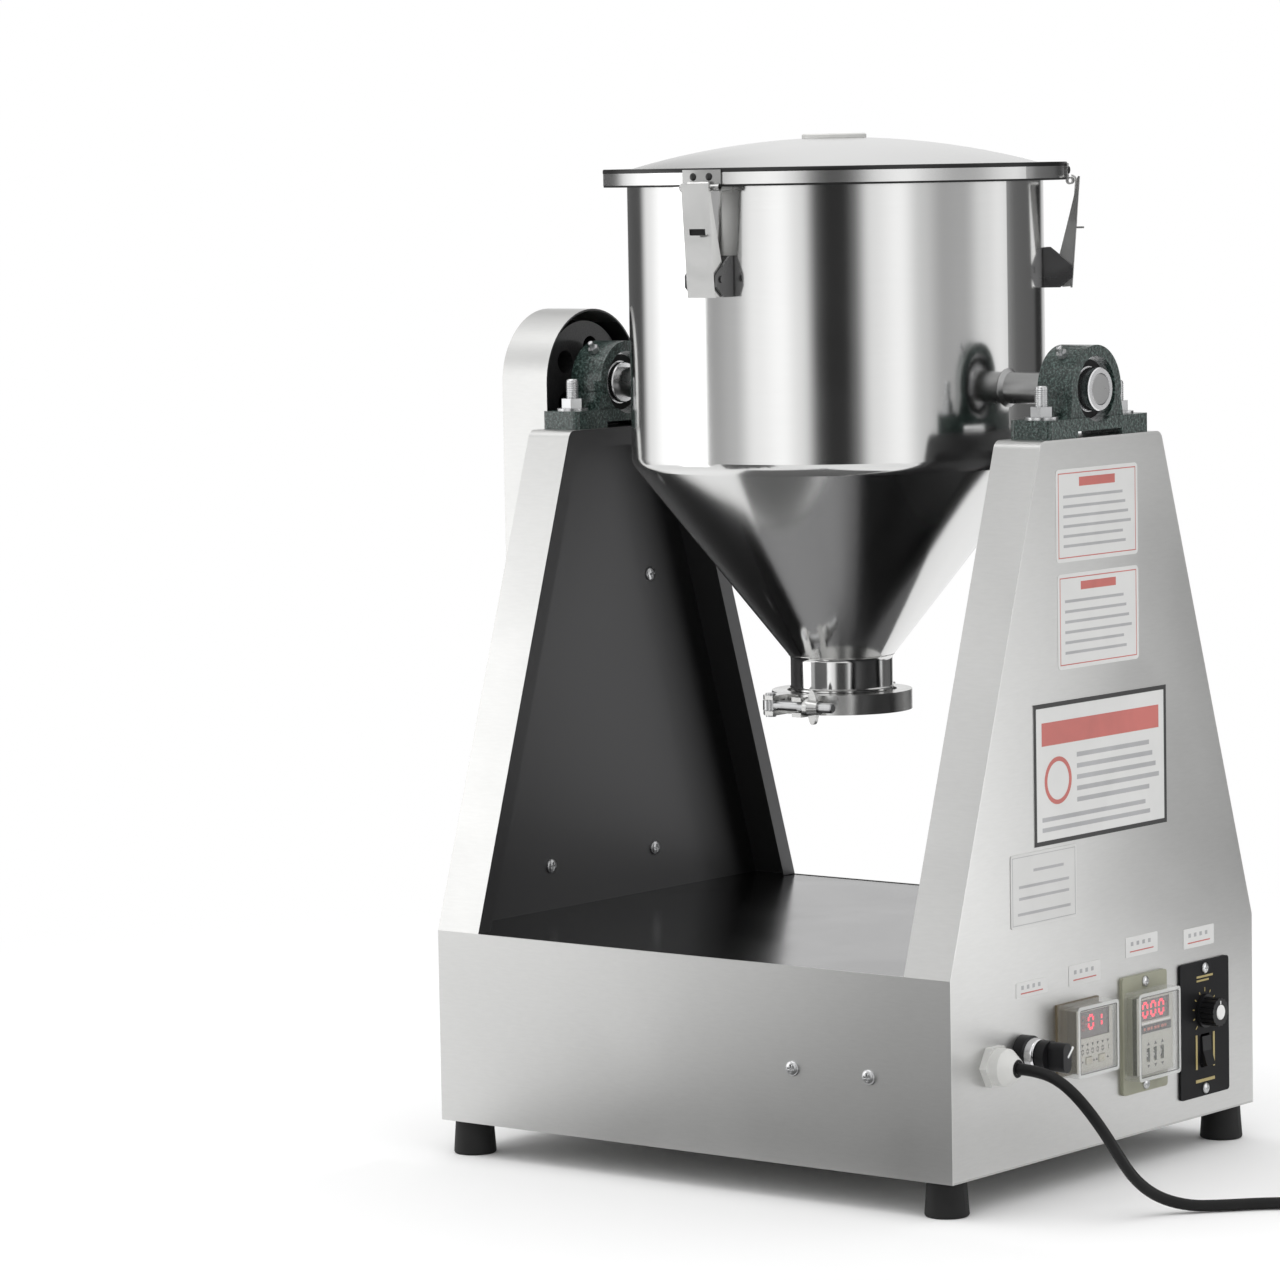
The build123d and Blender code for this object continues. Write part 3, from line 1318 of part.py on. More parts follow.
# Timer: bezel plate, body, three thumbwheels and a clear cover that pulls off
wheel_radius = 9.0
wheel_width = 7.0
wheel_pitch = 10.0
wheel_z = timer_z - 16.0
wheel_axis_reach = 1.5
timer_body_w = timer_cover_width - 8
timer_body_h = timer_cover_height - 8
timer_face_reach = timer_plate_thickness + 5.0
with BuildPart() as timer_case:
    extrude(boxed(panel_plane, timer_plate_width, timer_plate_height, timer_y, timer_z),
            amount=timer_plate_thickness)
    fillet(timer_case.edges().filter_by(Axis.X), radius=3)
    extrude(boxed(panel_plane.offset(timer_plate_thickness), timer_body_w, timer_body_h, timer_y, timer_z),
            amount=timer_face_reach - timer_plate_thickness)
    extrude(boxed(panel_plane, timer_cover_width - 14.2, timer_cover_height - 10.2, timer_y, timer_z),
            amount=-case_depth)
    with BuildSketch(panel_plane.offset(timer_face_reach)):
        with Locations(*[(timer_y + shift * wheel_pitch, wheel_z) for shift in (-1, 0, 1)]):
            Rectangle(wheel_width + 2 * cover_gap, 2 * wheel_radius + 1)
    extrude(amount=-timer_face_reach - wheel_radius - 2, mode=Mode.SUBTRACT)
    with BuildSketch(panel_plane.offset(timer_face_reach)):
        with Locations((timer_y, timer_z + 20)):
            Rectangle(timer_body_w - 10, 18)
    extrude(amount=-1.2, mode=Mode.SUBTRACT)
    for y_side in (-1, 1):
        with Locations(Location((panel_x + timer_plate_thickness, timer_y,
                                 timer_z + y_side * (timer_plate_height / 2 - 6)), (0, 90, 0))):
            Cylinder(3.4, 1.4, align=(Align.CENTER, Align.CENTER, Align.MIN))
    with Locations(Location((panel_x + wheel_axis_reach, timer_y, wheel_z), (90, 0, 0))):
        Cylinder(1.5, 3.4 * wheel_pitch)
timer_case.part.label = "timer_case"
export_step(timer_case.part, "parts/timer_case.step")

for number, shift in enumerate((-1, 0, 1), start=1):
    with BuildPart() as thumbwheel:
        with BuildSketch(Plane.XZ.offset(-(timer_y + shift * wheel_pitch))):
            with Locations((panel_x + wheel_axis_reach, wheel_z)):
                Circle(wheel_radius)
                with PolarLocations(wheel_radius, 10):
                    Circle(1.0, mode=Mode.SUBTRACT)
                Circle(1.5 + running_gap, mode=Mode.SUBTRACT)
        extrude(amount=wheel_width / 2, both=True)
    thumbwheel.part.label = f"timer_wheel_{number}"
    export_step(thumbwheel.part, f"parts/timer_wheel_{number}.step")

with BuildPart() as timer_cover:
    extrude(boxed(panel_plane.offset(timer_plate_thickness + touch), timer_cover_width, timer_cover_height,
                  timer_y, timer_z), amount=timer_cover_reach - timer_plate_thickness - touch)
    fillet(timer_cover.edges().filter_by(Axis.X), radius=3)
    extrude(boxed(panel_plane.offset(timer_plate_thickness + touch), timer_body_w + 2 * cover_gap,
                  timer_body_h + 2 * cover_gap, timer_y, timer_z),
            amount=timer_cover_reach - timer_plate_thickness - cover_wall, mode=Mode.SUBTRACT)
timer_cover.part.label = "timer_cover"
export_step(timer_cover.part, "parts/timer_cover.step")

# Speed controller: black plate, box behind the panel, knob and run rocker
with BuildPart() as speed_plate:
    extrude(boxed(panel_plane, speed_plate_width, speed_plate_height, speed_y, speed_z),
            amount=speed_plate_thickness)
    fillet(speed_plate.edges().filter_by(Axis.X), radius=3)
    extrude(boxed(panel_plane, speed_plate_width - 14.2, speed_plate_height - 24.2, speed_y, speed_z),
            amount=-case_depth)
    with BuildSketch(panel_plane.offset(speed_plate_thickness)):
        with Locations((speed_y, rocker_z)):
            Rectangle(rocker_width, rocker_height)
    extrude(amount=-16, mode=Mode.SUBTRACT)
    with BuildSketch(panel_plane.offset(speed_plate_thickness)):
        with Locations((speed_y, speed_knob_z)):
            Circle(3 + running_gap)
    extrude(amount=-10, mode=Mode.SUBTRACT)
    for end in (-1, 1):
        with Locations(Location((panel_x + speed_plate_thickness, speed_y,
                                 speed_z + end * (speed_plate_height / 2 - 6)), (0, 90, 0))):
            Cylinder(3.4, 1.4, align=(Align.CENTER, Align.CENTER, Align.MIN))
    with Locations(Location((panel_x - 4, speed_y, rocker_z), (90, 0, 0))):
        Cylinder(1.5, rocker_width + 2)
speed_plate.part.label = "speed_plate"
export_step(speed_plate.part, "parts/speed_plate.step")

with BuildPart() as speed_knob:
    with BuildSketch(panel_plane.offset(-6)):
        with Locations((speed_y, speed_knob_z)):
            Circle(3)
    extrude(amount=6 + speed_plate_thickness + cover_gap)
    with BuildSketch(panel_plane.offset(speed_plate_thickness + cover_gap)):
        with Locations((speed_y, speed_knob_z)):
            Circle(speed_knob_radius + 2)
    extrude(amount=2)
    with BuildSketch(panel_plane.offset(speed_plate_thickness + cover_gap + 2)):
        with Locations((speed_y, speed_knob_z)):
            Circle(speed_knob_radius)
            with PolarLocations(speed_knob_radius, 16):
                Circle(0.8, mode=Mode.SUBTRACT)
    extrude(amount=speed_knob_reach - speed_plate_thickness - cover_gap - 2)
speed_knob.part.label = "speed_knob"
export_step(speed_knob.part, "parts/speed_knob.step")

# Run rocker, turned about the pin in its opening
rocker_pivot = (panel_x - 4, rocker_z)
with BuildPart() as run_rocker:
    with BuildSketch(Plane.XZ.offset(-speed_y)) as rocker_side:
        with BuildLine():
            Polyline(
                (panel_x - 9, rocker_z - rocker_height / 2 + 4),
                (panel_x + 1.5, rocker_z - rocker_height / 2 + 1.4),
                (panel_x + 8, rocker_z - rocker_height / 2 + 1.8),
                (panel_x + 4.2, rocker_z),
                (panel_x + 3.4, rocker_z + rocker_height / 2 - 1.8),
                (panel_x - 2.5, rocker_z + rocker_height / 2 - 1.8),
                (panel_x - 9, rocker_z + rocker_height / 2 - 5),
                close=True,
            )
        make_face()
        with Locations(rocker_pivot):
            Circle(1.5 + running_gap, mode=Mode.SUBTRACT)
    extrude(amount=rocker_width / 2 - cover_gap, both=True)
run_rocker.part.label = "run_rocker"
export_step(run_rocker.part, "parts/run_rocker.step")

# Power cord: straight runs joined by tangent arcs, from the gland to the floor and to its coil
cord_route = [
    (279.0, -159.0, 112.0),
    (299.0, -159.0, 112.0),
    (318.5, -158.3, 105.3),
    (334.0, -155.0, 91.5),
    (348.0, -147.5, 70.0),
    (355.0, -136.0, 48.0),
    (359.0, -121.0, 28.5),
    (368.0, -104.0, 13.5),
    (384.0, -85.0, 5.5),
    (402.0, -65.0, 4.8),
    (421.0, -43.0, 4.9),
    (441.0, -19.5, 4.7),
    (461.4, 4.8, 4.9),
]
coil_mid_radius = 50.0
coil_half_band = 13.5
coil_height = 2 * cord_diameter
coil_centre = (459.0, 67.0)
coil_approach = 38.7
cord_radii = []
for before, corner, after in zip(cord_route, cord_route[1:], cord_route[2:]):
    run_in = Vector(*corner) - Vector(*before)
    run_out = Vector(*after) - Vector(*corner)
    turn = run_in.get_angle(run_out)
    cord_radii.append(0.45 * min(run_in.length, run_out.length) / tan(radians(turn / 2)))
print("cord radii in mm:", [round(radius, 1) for radius in cord_radii])
first_run = Vector(*cord_route[1]) - Vector(*cord_route[0])
with BuildPart() as power_cord:
    with BuildLine() as cord_line:
        FilletPolyline(*cord_route, radius=cord_radii)
    with BuildSketch(Plane(cord_route[0], z_dir=first_run)):
        Circle(cord_radius)
    sweep(path=cord_line.wires()[0])
cord_free_length = cord_line.wires()[0].length
cord_volume_ratio = power_cord.part.volume / (pi * cord_radius ** 2 * cord_free_length)
print("cord tube length", round(cord_free_length, 1), "volume ratio", round(cord_volume_ratio, 4))
power_cord.part.label = "power_cord"
export_step(power_cord.part, "parts/power_cord.step")

with BuildPart() as cord_coil:
    with BuildSketch(Plane.XY):
        with Locations(coil_centre):
            Circle(coil_mid_radius + coil_half_band)
            Circle(coil_mid_radius - coil_half_band, mode=Mode.SUBTRACT)
    extrude(amount=coil_height)
cord_coil.part.label = "cord_coil"
export_step(cord_coil.part, "parts/cord_coil.step")

# Moulded plug lying beside the coil: tapered strain relief, body and two pins
plug_axis = Vector(-sin(radians(coil_approach)), cos(radians(coil_approach)), 0)
coil_exit = sqrt((coil_mid_radius + coil_half_band) ** 2 - coil_mid_radius ** 2)
plug_radius = 13.0
plug_body_length = 34.0
relief_length = 26.0
pin_length = 19.0
pin_spacing = 19.0
plug_start = (
    Vector(coil_centre[0], coil_centre[1], plug_radius)
    + Vector(cos(radians(coil_approach)), sin(radians(coil_approach)), 0) * coil_mid_radius
    + plug_axis * (coil_exit - 2)
)


def plug_plane(distance):
    """A plane across the plug, at a distance from the tip of its strain relief."""
    return Plane(plug_start + plug_axis * distance, x_dir=(0, 0, 1), z_dir=plug_axis)


with BuildPart() as power_plug:
    with BuildSketch(plug_plane(0)) as relief_tip:
        Circle(cord_radius + 1)
    with BuildSketch(plug_plane(relief_length)) as relief_root:
        Circle(cord_radius + 3)
    loft(sections=[relief_tip.sketch, relief_root.sketch])
    with BuildSketch(plug_plane(relief_length)):
        SlotOverall(2 * plug_radius + 12, 2 * plug_radius, rotation=90)
    extrude(amount=plug_body_length)
    fillet(power_plug.edges().sort_by(Axis(plug_start, plug_axis))[-4:], radius=1.5)
    with BuildSketch(plug_plane(relief_length + plug_body_length)):
        with Locations((0, pin_spacing / 2), (0, -pin_spacing / 2)):
            Circle(2.4)
    extrude(amount=pin_length)
power_plug.part.label = "power_plug"
export_step(power_plug.part, "parts/power_plug.step")
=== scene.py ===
"""Looks of the drum mixer: finishes, fittings, panel faces, the power cord, studio and camera.

Metres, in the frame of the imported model: the origin is on the floor under the drum, the front
faces -Y, the controls are on +X and the belt drive is on -X.
"""
from math import cos, pi, radians, sin

import bmesh
import bpy
from mathutils import Matrix, Vector


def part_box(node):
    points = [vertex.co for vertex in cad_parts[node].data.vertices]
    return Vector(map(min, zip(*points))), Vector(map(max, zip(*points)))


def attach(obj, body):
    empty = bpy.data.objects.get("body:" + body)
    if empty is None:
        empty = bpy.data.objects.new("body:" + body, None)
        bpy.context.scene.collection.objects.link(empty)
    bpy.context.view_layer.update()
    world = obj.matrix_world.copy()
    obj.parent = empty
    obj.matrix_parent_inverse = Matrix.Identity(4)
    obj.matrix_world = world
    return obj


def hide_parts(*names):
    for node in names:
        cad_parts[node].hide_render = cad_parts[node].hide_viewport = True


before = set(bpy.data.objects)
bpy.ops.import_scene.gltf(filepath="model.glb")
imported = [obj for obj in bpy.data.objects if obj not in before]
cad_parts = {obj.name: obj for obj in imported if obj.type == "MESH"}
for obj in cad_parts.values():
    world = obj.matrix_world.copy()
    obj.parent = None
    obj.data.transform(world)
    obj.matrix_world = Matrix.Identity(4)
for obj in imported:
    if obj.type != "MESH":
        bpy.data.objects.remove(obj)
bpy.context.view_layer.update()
scene = bpy.context.scene


def middle(name):
    """The middle of a node's box."""
    return tuple((low + high) / 2 for low, high in zip(*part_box(name)))


# Camera, as it stood for the photograph
camera_place = Vector((2.5318, -3.4178, 0.8009))
camera_azimuth = radians(38.732)
camera_elevation = radians(5.153)
camera_roll = radians(-1.026)
camera_lens = 147.87
sensor_width = 36.0
camera_far_end = 40.0

# Places and sizes shared by several pieces; a reach is measured out from the right panel
panel_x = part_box("side_panel_right")[1][0]
front_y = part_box("front_fascia")[0][1]
bearing_x = middle("pillow_block_right")[0]
bearing_seat_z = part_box("pillow_block_right")[0][2]
trunnion_z = middle("bearing_inner_rings")[2]
knob_place = middle("speed_knob")[1:]
counter_place = middle("counter_case")[1:]
timer_place = middle("timer_case")[1:]
switch_place = (-0.1185, 0.116)
case_face_reach = 0.008
counter_face_reach = 0.0174
timer_face_reach = 0.0125
bezel_side_depth = 0.0006
overlap = 0.0001
print_height = 0.0002
card_level = 0.002


# Camera
def add_camera():
    """The camera at the photograph's place, turned by its azimuth, elevation and roll."""
    back = Vector((
        sin(camera_azimuth) * cos(camera_elevation),
        -cos(camera_azimuth) * cos(camera_elevation),
        sin(camera_elevation),
    ))
    level_right = Vector((cos(camera_azimuth), sin(camera_azimuth), 0))
    level_up = back.cross(level_right)
    right = cos(camera_roll) * level_right + sin(camera_roll) * level_up
    up = cos(camera_roll) * level_up - sin(camera_roll) * level_right
    data = bpy.data.cameras.new("camera")
    data.sensor_width = sensor_width
    data.lens = camera_lens
    data.clip_end = camera_far_end
    camera = bpy.data.objects.new("camera", data)
    scene.collection.objects.link(camera)
    turn = Matrix((right, up, back)).transposed().to_4x4()
    camera.matrix_world = Matrix.Translation(camera_place) @ turn
    scene.camera = camera
    scene.view_settings.view_transform = "Standard"


# Mesh helpers
def object_from(name, mesh, material):
    """A new object at the origin with one material."""
    piece = bpy.data.objects.new(name, mesh)
    mesh.materials.clear()
    mesh.materials.append(material)
    scene.collection.objects.link(piece)
    return piece


def evaluated_mesh(piece):
    """A new mesh of a piece with its modifiers worked out."""
    bpy.context.view_layer.update()
    return bpy.data.meshes.new_from_object(piece.evaluated_get(bpy.context.evaluated_depsgraph_get()))


def placed(piece, body):
    """Puts a finished piece on its body."""
    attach(piece, body)
    return piece


def from_bmesh(name, bm, material, smooth_angle=35.0):
    """A mesh object from a bmesh, normals outward and smooth below the given angle."""
    bmesh.ops.remove_doubles(bm, verts=bm.verts, dist=1e-6)
    bmesh.ops.recalc_face_normals(bm, faces=bm.faces)
    mesh = bpy.data.meshes.new(name)
    bm.to_mesh(mesh)
    bm.free()
    piece = object_from(name, mesh, material)
    mesh.polygons.foreach_set("use_smooth", [True] * len(mesh.polygons))
    mesh.set_sharp_from_angle(angle=radians(smooth_angle))
    return piece


def add_piece(name, bm, coat, body, smooth_angle=35.0):
    """A finished piece on its body, in the slot of its coat."""
    piece = from_bmesh(name, bm, finish[coat], smooth_angle)
    return placed(piece, body)


def add_turned(bm, origin, axis, profile, segments=40):
    """Adds a shape turned about an axis; the profile is (distance along, radius) points."""
    axis = Vector(axis).normalized()
    side = axis.orthogonal().normalized()
    other = axis.cross(side)
    origin = Vector(origin)
    rings = []
    for along, radius in profile:
        if radius < 1e-7:
            rings.append([bm.verts.new(origin + axis * along)])
            continue
        ring = []
        for step in range(segments):
            angle = 2 * pi * step / segments
            outward = side * cos(angle) + other * sin(angle)
            ring.append(bm.verts.new(origin + axis * along + outward * radius))
        rings.append(ring)
    for lower, upper in zip(rings, rings[1:]):
        for step in range(segments):
            after = (step + 1) % segments
            corners = []
            for ring, index in ((lower, step), (lower, after), (upper, after), (upper, step)):
                vertex = ring[index] if len(ring) > 1 else ring[0]
                if vertex not in corners:
                    corners.append(vertex)
            if len(corners) > 2:
                bm.faces.new(corners)


def add_rings(name, rings, segments, coat, body, smooth_angle=35.0):
    """A piece of closed rings, each (origin, axis, profile); a profile is closed and stays off the axis."""
    bm = bmesh.new()
    for origin, axis, profile in rings:
        add_turned(bm, origin, axis, [*profile, profile[0]], segments)
    return add_piece(name, bm, coat, body, smooth_angle)


def add_loop(bm, here, there):
    """Adds the faces between two closed rows of the same number of vertices."""
    for step in range(len(here)):
        after = (step + 1) % len(here)
        bm.faces.new((here[step], here[after], there[after], there[step]))


def add_prism(bm, lower, upper):
    """Adds a prism between two outlines of the same number of points."""
    lower, upper = [[bm.verts.new(point) for point in outline] for outline in (lower, upper)]
    bm.faces.new(lower)
    bm.faces.new(upper)
    add_loop(bm, lower, upper)


def rounded_outline(low, high, radius, steps=5):
    """Points round a rectangle with rounded corners, in the two coordinates of a plane."""
    if radius <= 0:
        return [(low[0], low[1]), (high[0], low[1]), (high[0], high[1]), (low[0], high[1])]
    centres = (
        (high[0] - radius, high[1] - radius, 0.0),
        (low[0] + radius, high[1] - radius, 90.0),
        (low[0] + radius, low[1] + radius, 180.0),
        (high[0] - radius, low[1] + radius, 270.0),
    )
    points = []
    for centre_a, centre_b, start in centres:
        for step in range(steps + 1):
            angle = radians(start + 90.0 * step / steps)
            points.append((centre_a + radius * cos(angle), centre_b + radius * sin(angle)))
    return points


def on_panel(outline, reach):
    """The places of an outline of (y, z) points that stands out from the right panel by a reach."""
    return [(panel_x + reach, y, z) for y, z in outline]


def add_panel_prism(bm, outline, low_reach, high_reach):
    """Adds a prism on the right panel between two reaches."""
    add_prism(bm, on_panel(outline, low_reach), on_panel(outline, high_reach))


def add_panel_box(bm, low, high, low_reach, high_reach, radius=0.0):
    """Adds a box on the right panel from its low and high (y, z) corners."""
    add_panel_prism(bm, rounded_outline(low, high, radius), low_reach, high_reach)


def add_boxes(name, boxes, coat, body):
    """A piece of boxes on the right panel, each with the arguments of add_panel_box."""
    bm = bmesh.new()
    for box in boxes:
        add_panel_box(bm, *box)
    return add_piece(name, bm, coat, body)


def box_about(place, low, high, *reaches):
    """The arguments of a panel box whose corners are measured from a place."""
    corners = [(place[0] + y, place[1] + z) for y, z in (low, high)]
    return (*corners, *reaches)


def inset(low, high, edge):
    """The corners of a rectangle inside another by an edge."""
    return (low[0] + edge, low[1] + edge), (high[0] - edge, high[1] - edge)


def edge_strips(low, high, edge):
    """The four (low, high) strips of a frame of the given edge width inside a rectangle."""
    return (
        ((low[0], low[1]), (high[0], low[1] + edge)),
        ((low[0], high[1] - edge), (high[0], high[1])),
        ((low[0], low[1] + edge), (low[0] + edge, high[1] - edge)),
        ((high[0] - edge, low[1] + edge), (high[0], high[1] - edge)),
    )


def add_panel_frame(name, low, high, radius, edge, low_reach, high_reach, coat, body):
    """A flat frame with rounded corners on the right panel, its edge strip of the given width."""
    bm = bmesh.new()
    outlines = (rounded_outline(low, high, radius), rounded_outline(*inset(low, high, edge), radius * 0.5))
    rows = [[bm.verts.new(point) for point in on_panel(outline, reach)]
            for reach in (low_reach, high_reach) for outline in outlines]
    order = (rows[0], rows[1], rows[3], rows[2])
    for here, there in zip(order, order[1:] + order[:1]):
        add_loop(bm, here, there)
    return add_piece(name, bm, coat, body)


def add_pierced_plate(bm, place, ys, zs, holes, low_reach, high_reach):
    """Adds a plate on the right panel, divided at ys and zs; its holes are (column, row) pairs."""
    levels = [[[bm.verts.new((panel_x + reach, place[0] + y, place[1] + z)) for z in zs] for y in ys]
              for reach in (low_reach, high_reach)]
    cells = [(column, row) for column in range(len(ys) - 1) for row in range(len(zs) - 1)
             if (column, row) not in holes]
    for column, row in cells:
        corners = ((column, row), (column + 1, row), (column + 1, row + 1), (column, row + 1))
        for level in levels:
            bm.faces.new([level[a][b] for a, b in corners])
        beyond = ((column, row - 1), (column + 1, row), (column, row + 1), (column - 1, row))
        for side in range(4):
            if beyond[side] not in cells:
                (a, b), (c, d) = corners[side], corners[(side + 1) % 4]
                bm.faces.new((levels[0][a][b], levels[0][c][d], levels[1][c][d], levels[1][a][b]))
    bmesh.ops.delete(bm, geom=[vertex for vertex in bm.verts if not vertex.link_faces], context="VERTS")


def add_bezel(name, place, ys, zs, holes, reach, coat):
    """A raised face with openings and side walls, standing on the flat face of its case."""
    lip = 0.0012
    wall = 0.0014
    edge = 0.0003
    bm = bmesh.new()
    add_pierced_plate(bm, place, ys, zs, holes, reach - lip, reach)
    bmesh.ops.recalc_face_normals(bm, faces=bm.faces)
    sharp = [line for line in bm.edges if line.is_manifold and line.calc_face_angle() > 1.0]
    bmesh.ops.bevel(bm, geom=sharp, offset=edge, segments=2, profile=0.5, affect="EDGES")
    spans = [(lines[0] + edge, lines[0] + wall, lines[-1] - wall, lines[-1] - edge) for lines in (ys, zs)]
    add_pierced_plate(bm, place, *spans, [(1, 1)], case_face_reach - overlap, reach - lip + overlap)
    return add_piece(name, bm, coat, "frame")


# Shader helpers
def feed(tree, socket, value):
    """Links an output to an input, or sets the input's plain value; a colour comes without its alpha."""
    if isinstance(value, bpy.types.NodeSocket):
        tree.links.new(value, socket)
    elif isinstance(value, tuple) and len(value) < len(socket.default_value):
        socket.default_value = (*value, 1.0)
    else:
        socket.default_value = value


def add_node(tree, kind, inputs=(), **settings):
    """A new node with its settings, and with values or outputs for the inputs given by name or number."""
    node = tree.nodes.new(kind)
    for key, value in settings.items():
        setattr(node, key, value)
    for key, value in dict(inputs).items():
        feed(tree, node.inputs[key], value)
    return node


def coordinate(tree, label):
    """One output of a Texture Coordinate node."""
    return add_node(tree, "ShaderNodeTexCoord").outputs[label]


def math_node(tree, operation, *values, clamp=False):
    """The result of a Math node fed by outputs or numbers."""
    inputs = dict(enumerate(values))
    return add_node(tree, "ShaderNodeMath", inputs, operation=operation, use_clamp=clamp).outputs[0]


def dot_product(tree, first, second):
    """The product of two directions, each an output or plain numbers."""
    inputs = {0: first, 1: second}
    return add_node(tree, "ShaderNodeVectorMath", inputs, operation="DOT_PRODUCT").outputs["Value"]


def smooth_step(tree, value, low, high, low_result=0.0, high_result=1.0):
    """A value's smooth rise from one result to the other between two levels."""
    inputs = {"Value": value, "From Min": low, "From Max": high, "To Min": low_result, "To Max": high_result}
    return add_node(tree, "ShaderNodeMapRange", inputs, interpolation_type="SMOOTHSTEP").outputs["Result"]


def mixed(tree, mask, first, second):
    """What goes from the first to the second by a mask: a colour where either is one, else a number."""
    kind = "RGBA" if tuple in (type(first), type(second)) else "FLOAT"
    inputs = {"Factor": mask, "A": first, "B": second}
    return add_node(tree, "ShaderNodeMix", inputs, data_type=kind).outputs["Result"]


# Shared shader effects
def new_group(name, given, results):
    """An empty shader group with inputs by their defaults; gives the tree and the sockets of its two ends."""
    tree = bpy.data.node_groups.new(name, "ShaderNodeTree")
    for label, default in given.items():
        kind = "NodeSocketVector" if isinstance(default, tuple) else "NodeSocketFloat"
        socket = tree.interface.new_socket(label, in_out="INPUT", socket_type=kind)
        socket.default_value = default
    for label in results:
        tree.interface.new_socket(label, in_out="OUTPUT", socket_type="NodeSocketFloat")
    return tree, add_node(tree, "NodeGroupInput").outputs, add_node(tree, "NodeGroupOutput").inputs


def build_grain_group():
    """Fine brushing drawn out along one direction."""
    tree, given, result = new_group("brushed grain", {"Stretch": (1, 1, 1), "Scale": 1.0}, ("Grain",))
    place = coordinate(tree, "Object")
    stretch = add_node(tree, "ShaderNodeMapping", {"Vector": place, "Scale": given["Stretch"]})
    noise = add_node(tree, "ShaderNodeTexNoise", {
        "Vector": stretch.outputs["Vector"], "Scale": given["Scale"], "Detail": 5.0, "Roughness": 0.65,
    })
    feed(tree, result["Grain"], noise.outputs["Fac"])
    return tree


def build_marks_group():
    """Soft clouds and small smears left by wiping and handling."""
    tree, given, result = new_group("wiping marks", {"Scale": 6.0, "Sharpness": 0.5}, ("Mask",))
    cloud = add_node(tree, "ShaderNodeTexNoise", {
        "Vector": coordinate(tree, "Object"), "Scale": given["Scale"], "Detail": 6.0, "Distortion": 0.6,
    })
    low = math_node(tree, "MULTIPLY", given["Sharpness"], 0.5)
    high = math_node(tree, "SUBTRACT", 1.0, low)
    feed(tree, result["Mask"], smooth_step(tree, cloud.outputs["Fac"], low, high))
    return tree


def build_inside_group():
    """1 where a sheet faces the middle of the machine, 0 where it faces out."""
    tree, _, result = new_group("inside face", {}, ("Mask",))
    inputs = {0: coordinate(tree, "Object"), 1: (1, 1, 0)}
    flat = add_node(tree, "ShaderNodeVectorMath", inputs, operation="MULTIPLY")
    facing = dot_product(tree, flat.outputs["Vector"], coordinate(tree, "Normal"))
    feed(tree, result["Mask"], math_node(tree, "LESS_THAN", facing, -0.02))
    return tree


def build_past_group():
    """1 where the place along +X is past a distance."""
    tree, given, result = new_group("past a plane", {"Distance": 0.0}, ("Mask",))
    along = dot_product(tree, coordinate(tree, "Object"), (1, 0, 0))
    feed(tree, result["Mask"], math_node(tree, "GREATER_THAN", along, given["Distance"]))
    return tree


def build_hammer_group():
    """Cells of hammered or cast paint, with soft pits and speckles between them."""
    tree, given, result = new_group("hammered skin", {"Scale": 300.0}, ("Height", "Speckle"))
    place = coordinate(tree, "Object")
    inputs = {"Vector": place, "Scale": given["Scale"], "Smoothness": 0.6}
    cells = add_node(tree, "ShaderNodeTexVoronoi", inputs, feature="SMOOTH_F1")
    speckle = add_node(tree, "ShaderNodeTexNoise", {
        "Vector": place, "Scale": math_node(tree, "MULTIPLY", given["Scale"], 1.6), "Detail": 4.0,
        "Roughness": 0.7,
    })
    feed(tree, result["Height"], cells.outputs["Distance"])
    feed(tree, result["Speckle"], smooth_step(tree, speckle.outputs["Fac"], 0.44, 0.68))
    return tree


groups = {
    "grain": build_grain_group(),
    "marks": build_marks_group(),
    "inside": build_inside_group(),
    "past": build_past_group(),
    "hammer": build_hammer_group(),
}


def use_group(tree, name, **values):
    """The outputs of a shared group placed in a material with its own values."""
    return add_node(tree, "ShaderNodeGroup", values, node_tree=groups[name]).outputs


# Materials
def start_material(color, roughness, **sockets):
    """A material with plain numbers on its shader; gives material, tree and shader."""
    material = bpy.data.materials.new("finish")
    material.use_nodes = True
    tree = material.node_tree
    shader = tree.nodes["Principled BSDF"]
    for key, value in {"Base_Color": color, "Roughness": roughness, **sockets}.items():
        feed(tree, shader.inputs[key.replace("_", " ")], value)
    material.diffuse_color = (*color, 1.0)
    return material, tree, shader


def tones(color, swing):
    """A darker and a lighter tone of a colour."""
    return [tuple(min(1.0, channel * (1 + side * swing)) for channel in color) for side in (-1, 1)]


def add_bump(tree, shader, height, strength, distance):
    """Feeds a height into the shader's normal through one Bump node."""
    bump = add_node(tree, "ShaderNodeBump", {"Strength": strength, "Distance": distance, "Height": height})
    feed(tree, shader.inputs["Normal"], bump.outputs["Normal"])


def steel(color, roughness, stretch, grain_scale=3.0, grain_depth=0.000004, lined=None, marks=5.0,
          tone_swing=0.06, roughness_swing=0.10):
    """Brushed or polished sheet steel with wiping marks; a tone given for the inner faces darkens them as
    painted shade.
    """
    material, tree, shader = start_material(color, roughness, Metallic=1.0)
    grain = use_group(tree, "grain", Stretch=stretch, Scale=grain_scale)["Grain"]
    smears = use_group(tree, "marks", Scale=marks, Sharpness=0.45)["Mask"]
    tone = mixed(tree, grain, *tones(color, tone_swing))
    gloss = mixed(tree, smears, roughness, roughness + roughness_swing)
    # Painted shade: the inner faces take the given darker tone and a duller gloss.
    if lined:
        inside = use_group(tree, "inside")["Mask"]
        tone = mixed(tree, inside, tone, lined)
        gloss = mixed(tree, inside, gloss, 0.5)
    feed(tree, shader.inputs["Base Color"], tone)
    feed(tree, shader.inputs["Roughness"], gloss)
    add_bump(tree, shader, grain, 0.35, grain_depth)
    return material


